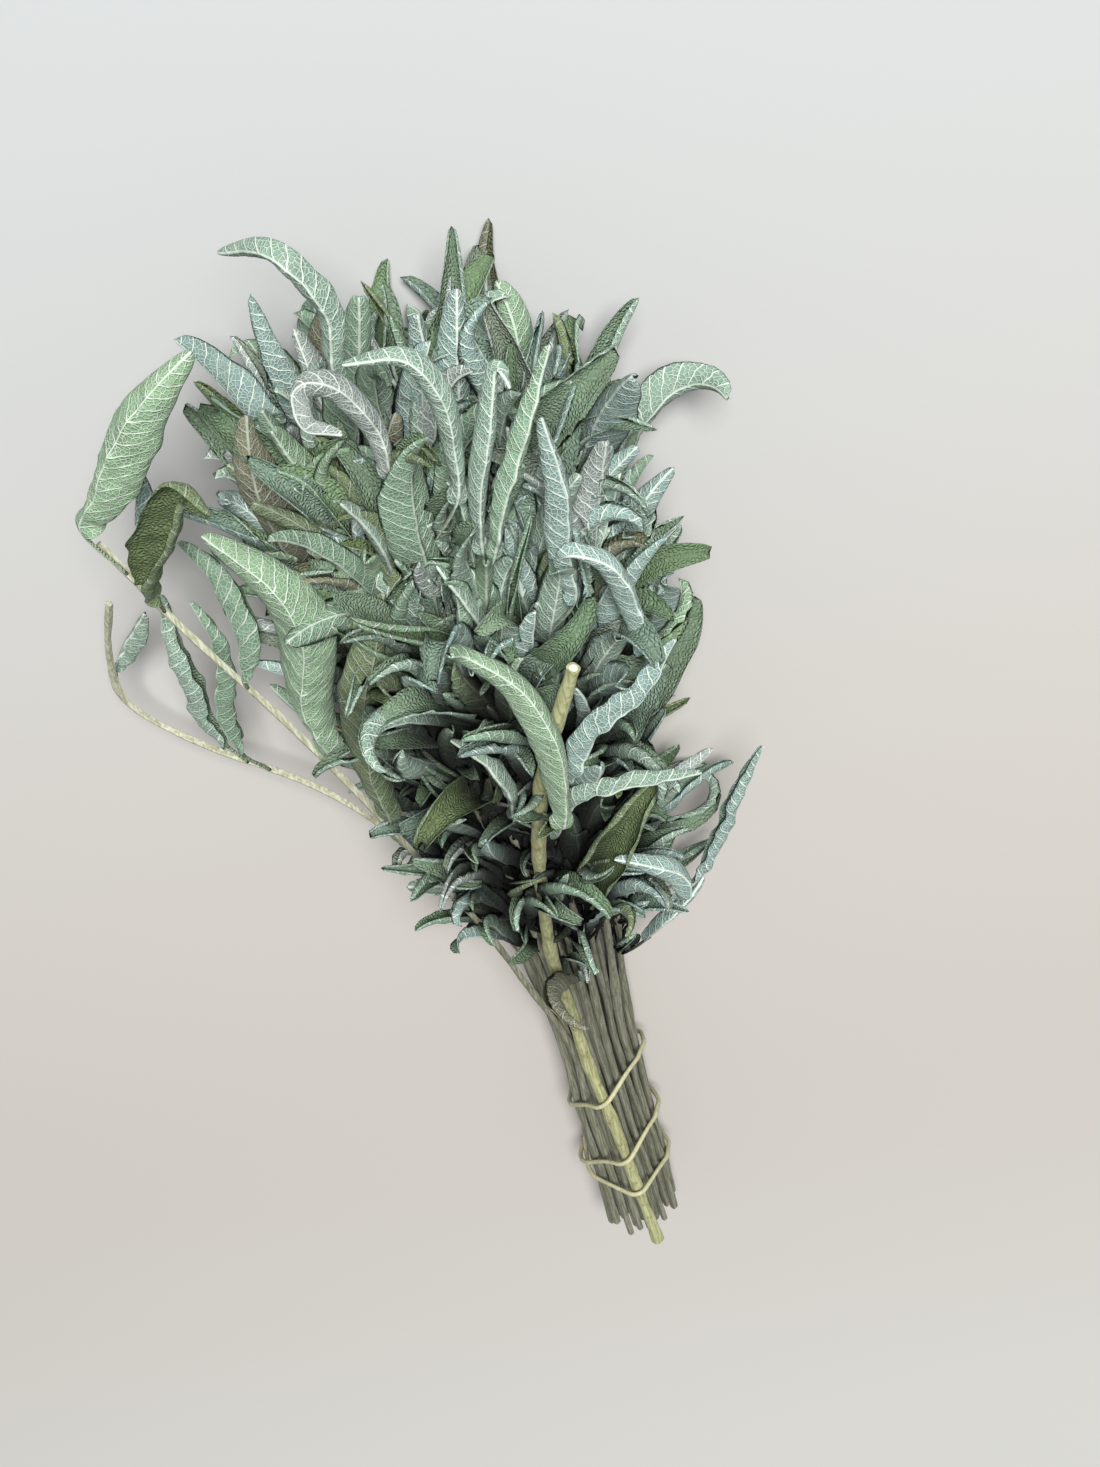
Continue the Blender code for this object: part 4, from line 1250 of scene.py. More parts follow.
@dataclass
class Blade:
    """A leaf's closed skin: a round stalk that opens into a keeled, rolled and crumpled blade."""

    leaf: Leaf
    frames: Frames
    detail: Detail
    habit: Habit
    stalk_radius: float = 0.00055
    half_thickness: float = 0.00019
    midrib: float = 0.00030
    midrib_width: float = 0.00042
    vein_spacing: float = 0.0044
    vein_slant: float = 0.8
    vein_height: float = 0.00014
    vein_width: float = 0.00045
    lowest: float = 0.0004
    section_steps: int = 40

    def __post_init__(self) -> None:
        """Draws where this leaf's waves and crumples start."""
        self.phase = np.random.default_rng(self.habit.seed).uniform(0, 2 * np.pi, 12)

    def shares(self) -> np.ndarray:
        """Where the rows are, as shares of the leaf's whole length.

        Returns:
            The shares, from root to tip.
        """
        stalk_rows, blade_rows, _ = self.detail.value
        stalk = self.leaf.petiole / (self.leaf.petiole + self.leaf.blade)
        even = np.linspace(0, 1, blade_rows + 1)
        packed = 0.45 * even + 0.275 * (1 - np.cos(np.pi * even))
        stalk_shares = np.linspace(0, stalk, stalk_rows + 1)[:-1]
        return np.concatenate([stalk_shares, stalk + (1 - stalk) * packed])

    def sampled(self, shares: np.ndarray) -> tuple[np.ndarray, np.ndarray, np.ndarray]:
        """The midrib's points, and unit vectors to the side and the upper side, at these shares.

        Args:
            shares: shares of the leaf's whole length.

        Returns:
            The points, the vectors to the side and those to the upper side.
        """
        point, heading, side, _ = (np.array([list(f[k]) for f in self.frames]) for k in range(4))
        place = np.clip(shares, 0, 1) * STEPS
        low = np.minimum(place.astype(int), STEPS - 1)
        t = (place - low)[:, None]
        step = np.linalg.norm(point[1:] - point[:-1], axis=1)[low][:, None]
        near, far = 2 * t ** 3 - 3 * t ** 2 + 1, 3 * t ** 2 - 2 * t ** 3
        leaving, arriving = t ** 3 - 2 * t ** 2 + t, t ** 3 - t ** 2
        line = (
            near * point[low] + leaving * heading[low] * step
            + far * point[low + 1] + arriving * heading[low + 1] * step
        )
        ahead = heading[low] * (1 - t) + heading[low + 1] * t
        ahead /= np.linalg.norm(ahead, axis=1)[:, None]
        across = side[low] * (1 - t) + side[low + 1] * t
        across -= ahead * np.sum(across * ahead, axis=1)[:, None]
        across /= np.linalg.norm(across, axis=1)[:, None]
        return line, across, np.cross(ahead, across)

    def half_width(self, part: np.ndarray) -> np.ndarray:
        """Half the blade's width along its curve, at these shares of its length.

        Args:
            part: shares of the blade's length.

        Returns:
            Half the width at each.
        """
        bluntness = 0.56 - 0.14 * eased(0.4, 0.8, part)
        swell = np.sin(np.pi * part ** 0.92).clip(0) ** bluntness
        fullness = 0.54 + 0.06 * min(self.habit.roll, 2.0)
        return self.stalk_radius * (1 - part) + fullness * self.leaf.width * swell

    def section(
        self, along: np.ndarray, part: np.ndarray, half: np.ndarray
    ) -> tuple[np.ndarray, np.ndarray, np.ndarray]:
        """The blade's curve across each row.

        The angle at which it leaves the keel is worked out from keel to rim, and added up.

        Args:
            along: each row's distance from the blade's foot.
            part: the same as a share of the blade.
            half: half the blade's width there.

        Returns:
            Places to the side, heights and angles: a row for each row, from rim to rim.
        """
        habit = self.habit
        fine = np.linspace(0, 1, self.section_steps + 1)
        at = [np.abs(fine - place).argmin() for place in self.detail.value[2]]
        keel = habit.keel * eased(0.0, 0.12, fine)[None, :] * (1.0 + 0.5 * (1 - part))[:, None]
        tightness = (0.75 + 0.6 * eased(0.55, 1.0, part))[:, None]
        start = np.zeros((len(part), 1))
        flanks = []
        for sign in (-1, 1):
            lean = 1 + sign * habit.lopsided
            uneven = (0.6 + 0.4 * np.sin(0.35 * along * 1000 + self.phase[0] + sign))[:, None]
            angle = (
                keel + habit.roll * lean * fine[None, :] ** 1.4 * tightness
                + habit.rim * eased(0.72, 1.0, fine)[None, :] * uneven
            ) * eased(0.0, 0.10, part)[:, None]
            x, y = (
                np.concatenate([start, np.cumsum(steps, axis=1)], axis=1) / self.section_steps
                for steps in (np.cos(angle[:, :-1]), np.sin(angle[:, :-1]))
            )
            flanks.append((x[:, at] * half[:, None], y[:, at] * half[:, None], angle[:, at]))
        return tuple(
            np.concatenate([mirror * left[:, :0:-1], right], axis=1)
            for mirror, left, right in zip((-1, 1, -1), *flanks)
        )

    def ripples(self, v: np.ndarray, along: np.ndarray, half: np.ndarray) -> np.ndarray:
        """Heights of the waves along the rims and of the crumples all over.

        Args:
            v: places across the blade, from -1 at one rim to 1 at the other.
            along: each row's distance from the blade's foot.
            half: half the blade's width there.

        Returns:
            The heights: a row for each row, from rim to rim.
        """
        phase = self.phase
        length_mm = along[:, None] * 1000
        flank = np.where(v < 0, phase[1], phase[2])[None, :]
        rim_wave = np.sin(2 * np.pi * length_mm / (15 + 5 * np.sin(phase[3])) + flank)
        swelling = 0.5 + 0.5 * np.sin(2 * np.pi * length_mm / 23 + phase[10] + flank)
        rim_wave = rim_wave + swelling * (
            0.3 * np.sin(2 * np.pi * length_mm / 7.3 + 2 * flank + phase[4])
            + 0.06 * np.sin(2 * np.pi * length_mm / 4.8 + 3 * flank + phase[11])
        )
        width_mm = v[None, :] * half[:, None] * 1000
        rough = sum(
            level * np.sin(2 * np.pi * (length_mm * a + width_mm * b) + phase[5 + k])
            for k, (a, b, level) in enumerate(CRUMPLES)
        )
        edge = np.abs(v)[None, :] ** 2.2
        calm = np.minimum(1, half / 0.004)[:, None]
        return self.habit.wave * edge * rim_wave + self.habit.crumple * rough * calm

    def vein_relief(self, along: np.ndarray, arc: np.ndarray) -> np.ndarray:
        """The side veins' ridges on the underside of a broad leaf.

        Args:
            along: each row's distance from the blade's foot.
            arc: each place's distance from the midrib, along the blade's curve.

        Returns:
            The ridges' heights: a row for each row, from rim to rim.
        """
        beat = (along[:, None] - self.vein_slant * np.abs(arc)) / self.vein_spacing
        gap = np.abs(beat - np.round(beat)) * self.vein_spacing
        return self.vein_height * np.exp(-(gap / self.vein_width) ** 2)

    def build(self) -> tuple[np.ndarray, np.ndarray, list[tuple]]:
        """Builds the skin.

        Returns:
            Its points, their places on the blade (along, across, side), and its faces.
        """
        leaf = self.leaf
        shares = self.shares()[:-1]
        line, across, upper = self.sampled(shares)
        along = shares * (leaf.petiole + leaf.blade) - leaf.petiole
        part = np.clip(along / leaf.blade, 0, 1)
        turn = (self.habit.twist * part)[:, None]
        across, upper = (
            across * np.cos(turn) + upper * np.sin(turn),
            upper * np.cos(turn) - across * np.sin(turn),
        )
        half = self.half_width(part)
        ring = np.array(self.detail.value[2])
        v = np.concatenate([-ring[:0:-1], ring])
        arc = v[None, :] * half[:, None]
        x, y, angle = self.section(along, part, half)

        # The ripples fade out into the stalk and the tip.
        opened = eased(0.0, 0.10, part)
        gate = (opened * (1 - 0.75 * eased(0.55, 1.0, part)))[:, None]
        y = y + gate * self.ripples(v, along, half)

        # The skin's two sides, with the midrib standing out below.
        thick = (self.stalk_radius * (1 - opened) + self.half_thickness * opened)[:, None]
        lens = np.sqrt(np.clip(1 - v ** 2, 0, 1))[None, :]
        rib = np.exp(-(arc / self.midrib_width) ** 2) * (opened * (1 - 0.8 * part))[:, None]
        below = thick * lens + self.midrib * rib
        over = thick * lens - 0.35 * self.midrib * rib
        if self.detail is Detail.SHOWN:
            below = below + gate * lens * self.vein_relief(along, arc)
        across, upper = across[:, None, :], upper[:, None, :]
        middle = line[:, None, :] + across * x[..., None] + upper * y[..., None]
        outward = upper * np.cos(angle)[..., None] - across * np.sin(angle)[..., None]
        lower_side = middle - outward * below[..., None]
        upper_side = middle + outward * over[..., None]
        points = np.concatenate([lower_side, upper_side[:, -2:0:-1]], axis=1)
        kind = np.zeros(points.shape[1])
        kind[0] = kind[len(v) - 1] = 0.5
        kind[len(v):] = 1.0
        places = np.empty_like(points)
        places[..., 0] = along[:, None]
        places[..., 1] = np.concatenate([arc, arc[:, -2:0:-1]], axis=1)
        places[..., 2] = kind[None, :]
        return self.closed(points, places)

    def closed(
        self, points: np.ndarray, places: np.ndarray
    ) -> tuple[np.ndarray, np.ndarray, list[tuple]]:
        """Closes the rows with a cap at the stalk and a point at the tip, above the ground.

        Args:
            points: the skin's rows of points.
            places: their places on the blade.

        Returns:
            The points, their places and the faces.
        """
        rows, size = points.shape[:2]
        flat = np.concatenate([points.reshape(-1, 3), [list(self.frames[-1][0])]])
        flat[:, 2] = np.maximum(flat[:, 2], self.lowest)
        places = np.concatenate([places.reshape(-1, 3), [[self.leaf.blade, 0.0, 0.5]]])
        faces = []
        for first in range(0, (rows - 1) * size, size):
            for k in range(size):
                after = (k + 1) % size
                faces.append((first + k, first + after, first + size + after, first + size + k))
        last = (rows - 1) * size
        faces += [(last + k, last + (k + 1) % size, len(flat) - 1) for k in range(size)]
        faces.append(tuple(range(size - 1, -1, -1)))
        return flat, places, faces


@dataclass
class Foliage:
    """All the leaves: those of the solids, and the smaller ones between them."""

    growth: Growth
    material: bpy.types.Material
    inner_shrink: float = 0.9
    # How dark painted shade makes the bases of the leaves.
    painted_base_shade: float = 0.30

    def tone(self, dice: random.Random, root: Vector) -> Tone:
        """Draws a leaf's tone: greener on one flank, bluer on the other, greyer at the crown.

        Args:
            dice: the seeded draws.
            root: where the leaf grows.

        Returns:
            The tone.
        """
        left = min(1.0, max(0.0, -root.x / 0.05))
        right = min(1.0, max(0.0, root.x / 0.04))
        top = min(1.0, max(0.0, (root.y - 0.09) / 0.07))
        weights = {
            Tone.BRIGHT: 0.08 + 0.5 * left,
            Tone.GREEN: 0.5,
            Tone.GREY: 0.8,
            Tone.BLUE: 0.25 + 1.3 * right,
            Tone.MAUVE: 0.08 + 0.35 * top,
            Tone.OLIVE: 0.12 + 0.1 * left,
            Tone.BROWN: 0.05,
        }
        return dice.choices(list(weights), list(weights.values()))[0]

    def tint(self, leaf: Leaf, root: Vector, seed: int) -> tuple[float, float, float, float]:
        """A leaf's own colour, with a number in place of alpha that sets its net of veins.

        Args:
            leaf: the leaf.
            root: where it grows.
            seed: starts the draws.

        Returns:
            Red, green, blue and that number.
        """
        dice = random.Random(seed)
        tone = self.tone(dice, root)
        red, green, blue, _ = linear((leaf.tone or tone).value)
        level = dice.uniform(0.86, 1.16)
        return red * level, green * level, blue * level, dice.random()

    def inner_leaves(self, sprig: Sprig, seed: int) -> list[tuple[Leaf, Frames]]:
        """Smaller leaves on the bare faces of a stem's nodes, which fill the bunch.

        Where a face looks out of the bunch it bears one more from the angle of its leaf, as sage
        does.

        Args:
            sprig: whose stem bears them.
            seed: starts the draws.

        Returns:
            Each leaf with its frames.
        """
        made = []
        low, high = CAD_BOX
        for node in sprig.nodes:
            taken = {side for side, _, _ in node.leaves}
            for side in (0, 1):
                root, along, out = self.growth.leaf_root(sprig, node, side)
                looks_out = self.growth.facing(root, out) > -0.1 and sprig.outwards > 0.45
                rounds = (side not in taken) + looks_out * (1 + (root.x > 0.02))
                for turn in range(rounds):
                    dice = random.Random(seed + round(4000 * node.share) + side + 77 * turn)
                    leaf = self.growth.drawn_leaf(dice, node.share, self.inner_shrink)
                    leaf.width *= 1.1
                    leaf.curl += dice.uniform(0.0, 1.5)
                    leaf.twist *= 1.5
                    leaf.sway += dice.uniform(-0.9, 0.9) * (turn > 0)
                    frames = self.growth.bent_frames(leaf, root, along, out)
                    end = frames[-1][0] + self.growth.shift
                    if all(low[k] + 0.002 < end[k] < high[k] - 0.002 for k in range(3)):
                        made.append((leaf, frames))
        return made

    def build(self) -> list[bpy.types.Object]:
        """Builds one piece for each sprig, which stands for its solid.

        Returns:
            The pieces.
        """
        pieces = []
        for index, sprig in enumerate(self.growth.sprigs):
            skins = Skins()
            seed = 10_000 * (index + 1)
            blades = [
                (leaf, frames, Detail.SHOWN if leaf.route else Detail.FULL)
                for node in sprig.nodes
                for _, leaf, frames in node.leaves
            ]
            if sprig in self.growth.fanned:
                blades += [(*made, Detail.INNER) for made in self.inner_leaves(sprig, seed)]
            for number, (leaf, frames, detail) in enumerate(blades):
                habit = Habit.drawn(leaf, seed + number)
                if detail is Detail.SHOWN:
                    habit = habit.weathered()
                points, places, faces = Blade(leaf, frames, detail, habit).build()
                tint = np.tile(self.tint(leaf, frames[0][0], seed + 500 + number), (len(points), 1))
                # Painted shade: the deeper in the bunch, the darker the leaf's colour.
                tint[:, :3] *= self.growth.light_at(points)[:, None]
                # Painted shade: all but the shown leaves darken towards their bases, by the stems.
                if detail is not Detail.SHOWN:
                    risen = eased(-0.1, 0.6, places[:, 0] / leaf.blade)
                    tint[:, :3] *= (self.painted_base_shade + (1 - self.painted_base_shade) * risen)[:, None]
                skins.add(points + np.array(self.growth.shift), places, tint, faces)
            name = f"{sprig.name}_leaves"
            piece = bpy.data.objects.new(name, skins.mesh(name))
            piece.data.materials.append(self.material)
            bpy.context.scene.collection.objects.link(piece)
            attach(piece, BODY)
            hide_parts(sprig.name)
            pieces.append(piece)
        return pieces


# ---------------------------------------------------------------- stems and bands


@dataclass
class Sweep:
    """A skin swept along lines by Geometry Nodes, with a rounded square or a round section."""

    name: str
    growth: Growth
    material: bpy.types.Material
    sides: int = 12
    squareness: float = 0.0
    # The darkest that painted shade makes a line.
    dimmest: float = 0.48

    def tree(self) -> bpy.types.NodeTree:
        """Builds the tree: lines with a `thickness` attribute to one closed skin for each.

        Returns:
            The tree.
        """
        tree = bpy.data.node_groups.new(f"{self.name}_sweep", "GeometryNodeTree")
        face = tree.interface
        face.new_socket("Geometry", in_out="INPUT", socket_type="NodeSocketGeometry")
        face.new_socket("Sides", in_out="INPUT", socket_type="NodeSocketInt")
        face.new_socket("Squareness", in_out="INPUT", socket_type="NodeSocketFloat")
        face.new_socket("Material", in_out="INPUT", socket_type="NodeSocketMaterial")
        face.new_socket("Geometry", in_out="OUTPUT", socket_type="NodeSocketGeometry")
        enter = add_node(tree, "NodeGroupInput").outputs
        line = add_node(tree, "GeometryNodeMeshToCurve", {"Mesh": enter["Geometry"]}).outputs[0]
        thickness = add_node(
            tree, "GeometryNodeInputNamedAttribute", {"Name": "thickness"}, data_type="FLOAT"
        ).outputs["Attribute"]
        circle = add_node(
            tree, "GeometryNodeCurvePrimitiveCircle", {"Resolution": enter["Sides"], "Radius": 1.0}
        ).outputs[0]
        spot = add_node(tree, "GeometryNodeInputPosition").outputs[0]
        parts = add_node(tree, "ShaderNodeSeparateXYZ", {0: spot}).outputs
        turn = add_node(
            tree, "ShaderNodeMath", {0: parts[1], 1: parts[0]}, operation="ARCTAN2"
        ).outputs[0]
        four = add_node(tree, "ShaderNodeMath", {0: turn, 1: 4.0}, operation="MULTIPLY").outputs[0]
        wave = add_node(tree, "ShaderNodeMath", {0: four}, operation="COSINE").outputs[0]
        reach = add_node(
            tree, "ShaderNodeMath", {0: wave, 1: enter["Squareness"], 2: 1.0},
            operation="MULTIPLY_ADD",
        ).outputs[0]
        moved = add_node(
            tree, "ShaderNodeVectorMath", {0: spot, "Scale": reach}, operation="SCALE"
        ).outputs[0]
        section = add_node(
            tree, "GeometryNodeSetPosition", {"Geometry": circle, "Position": moved}
        ).outputs[0]
        skin = add_node(
            tree, "GeometryNodeCurveToMesh",
            {"Curve": line, "Profile Curve": section, "Scale": thickness, "Fill Caps": True},
        ).outputs[0]
        real = add_node(tree, "GeometryNodeRealizeInstances", {"Geometry": skin}).outputs[0]
        dressed = add_node(
            tree, "GeometryNodeSetMaterial", {"Geometry": real, "Material": enter["Material"]}
        ).outputs[0]
        add_node(tree, "NodeGroupOutput", {0: dressed})
        return tree

    def build(self, lines: list[tuple[list[Vector], list[float], float, bool]]) -> bpy.types.Object:
        """Sweeps the lines.

        Args:
            lines: for each, its points, its thickness at each, its shade from 0 to 1, and whether
                it is closed.

        Returns:
            The finished piece.
        """
        points, edges, thickness, shade = [], [], [], []
        for line, radii, level, closed in lines:
            first = len(points)
            points += [tuple(point) for point in line]
            thickness += radii
            places = np.array([list(point) for point in line]) - np.array(self.growth.shift)
            # Painted shade: each line's own level, darkened deeper in the bunch but no darker than
            # dimmest.
            shade += (level * np.maximum(self.dimmest, self.growth.light_at(places))).tolist()
            edges += [(first + k, first + k + 1) for k in range(len(line) - 1)]
            if closed:
                edges.append((first + len(line) - 1, first))
        data = bpy.data.meshes.new(f"{self.name}_lines")
        data.from_pydata(points, edges, [])
        data.attributes.new("thickness", "FLOAT", "POINT").data.foreach_set("value", thickness)
        data.attributes.new("shade", "FLOAT", "POINT").data.foreach_set("value", shade)
        settings = {"Sides": self.sides, "Squareness": self.squareness, "Material": self.material}
        piece = grown_by_nodes(self.name, data, self.tree(), settings)
        piece.data.shade_smooth()
        piece.data.set_sharp_from_angle(angle=math.radians(55))
        return piece


def grown_by_nodes(
    name: str, data: bpy.types.Mesh, tree: bpy.types.NodeTree, settings: dict[str, Any]
) -> bpy.types.Object:
    """Runs a Geometry Nodes tree on a mesh and keeps the result as a plain mesh.

    Args:
        name: the finished piece's name.
        data: what the tree starts from.
        tree: the tree.
        settings: the tree's inputs, by name.

    Returns:
        An object with the result and no modifier.
    """
    source = bpy.data.objects.new(f"{name}_source", data)
    bpy.context.scene.collection.objects.link(source)
    modifier = source.modifiers.new("grow", "NODES")
    modifier.node_group = tree
    for item in tree.interface.items_tree:
        if item.in_out == "INPUT" and item.name in settings:
            modifier[item.identifier] = settings[item.name]
    graph = bpy.context.evaluated_depsgraph_get()
    result = bpy.data.meshes.new_from_object(source.evaluated_get(graph), depsgraph=graph)
    source.modifiers.remove(modifier)
    bpy.data.objects.remove(source)
    piece = bpy.data.objects.new(name, result)
    result.name = name
    bpy.context.scene.collection.objects.link(piece)
    return piece


@dataclass
class Stems:
    """The stems, with a swelling at each node, and their cut ends."""

    growth: Growth
    spacing: float = 0.0030
    swelling: float = 0.22
    swelling_length: float = 0.0030
    slimness: float = 0.80
    stray: float = 0.0006

    def line(self, sprig: Sprig) -> tuple[list[Vector], list[float]]:
        """A stem's points in the frame, and its thickness at each.

        Args:
            sprig: whose stem.

        Returns:
            The points and the thicknesses.
        """
        length = sprig.length
        count = round(length / self.spacing)
        dice = random.Random(f"wander {sprig.name}")
        wander = [dice.uniform(0, math.tau) for _ in range(4)]
        points, radii = [], []
        for k in range(count + 1):
            share = k / count
            radius = self.growth.stem_radius(sprig, share) * self.slimness
            slow, quick = math.sin(61 * share + wander[0]), math.sin(143 * share + wander[1])
            radius *= 1 + 0.10 * slow + 0.06 * quick
            near = min((abs(share - node.share) * length for node in sprig.nodes), default=1.0)
            radius *= 1 + self.swelling * math.exp(-(near / self.swelling_length) ** 2)
            stray = Vector((
                math.sin(9.0 * share + wander[0]) + 0.4 * math.sin(31 * share + wander[1]), 0.0,
                math.sin(11.0 * share + wander[2]) + 0.4 * math.sin(27 * share + wander[3]),
            )) * (self.stray * min(1.0, (1 - share) * 2))
            points.append(point_at(sprig.points, share) + stray + self.growth.shift)
            radii.append(radius)
        return points, radii

    def build(self) -> list[bpy.types.Object]:
        """Builds the sage stems and the thick branch.

        Returns:
            The pieces.
        """
        dice = random.Random(3)
        lines = []
        for sprig in self.growth.sprigs[:-1]:
            points, radii = self.line(sprig)
            lines.append((points, radii, dice.uniform(0.78, 1.14), False))
        felted = Sweep("sage_stems", self.growth, SAGE_STEM.build(), sides=8, squareness=0.10)
        stems = felted.build(lines)
        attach(stems, BODY)
        points, radii = self.line(self.growth.sprigs[-1])
        bark = Sweep(
            "branch_bark", self.growth, GREEN_BARK.build(), sides=20, squareness=0.05, dimmest=0.8
        )
        branch = bark.build([(points, radii, 1.0, False)])
        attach(branch, BODY)
        pith = self.pith(points[-2], points[-1], radii[-1])
        return [stems, branch, pith]

    def pith(self, below: Vector, end: Vector, radius: float) -> bpy.types.Object:
        """The pale, slightly domed pith that the branch's upper cut shows.

        Args:
            below: a point of the branch before its end.
            end: the middle of its cut end.
            radius: the branch's radius there.

        Returns:
            The piece.
        """
        heading = (end - below).normalized()
        base = end - heading * 0.0006
        lines = [(
            [base, end + heading * 0.0001, end + heading * 0.0004, end + heading * 0.0005],
            [radius * 0.66, radius * 0.66, radius * 0.5, radius * 0.2], 1.0, False,
        )]
        piece = Sweep("branch_pith", self.growth, CUT_PITH.build(), sides=16).build(lines)
        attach(piece, BODY)
        return piece


@dataclass
class RubberBands:
    """Two thin natural rubber bands, stretched round the stems."""

    growth: Growth
    points: int = 120
    radius: float = 0.0009

    def line(self, turns: int, station_at: Callable, lift_at: Callable) -> list[Vector]:
        """A closed line round the waist.

        Args:
            turns: how many times it goes round.
            station_at: gives its distance from the cut ends.
            lift_at: gives how far it stands off the stems.

        Returns:
            The line's points, in order.
        """
        waist = self.growth.waist
        points = []
        for k in range(self.points * turns):
            angle = math.tau * k / self.points
            station = station_at(angle)
            reach = waist.outline_radius(angle - waist.turn_at(station)) + lift_at(angle)
            points.append(self.growth.shift + Vector((
                reach * math.cos(angle),
                waist.cut_end + station,
                waist.height + reach * math.sin(angle),
            )))
        return points

    def build(self) -> list[bpy.types.Object]:
        """Builds the band of one turn and the band of two, which crosses itself once.

        Returns:
            The pieces.
        """
        rubber = AGED_RUBBER.build()
        upper = self.line(1, lambda a: 0.082 + 0.013 * math.cos(a - 0.35), lambda a: 0.0)
        lower = self.line(
            2,
            lambda a: 0.041 + 0.013 * math.cos(a / 2) + 0.006 * math.cos(a - 0.35),
            lambda a: 0.0024 * math.exp(-(((a - math.pi) / 0.55) ** 2)),
        )
        pieces = []
        for name, line in (("rubber_band_upper", upper), ("rubber_band_lower", lower)):
            thickness = [self.radius * (0.94 + 0.06 * math.sin(0.31 * k)) for k in range(len(line))]
            sweep = Sweep(f"{name}_stretched", self.growth, rubber, sides=12)
            piece = sweep.build([(line, thickness, 1.0, True)])
            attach(piece, BODY)
            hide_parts(name)
            pieces.append(piece)
        return pieces


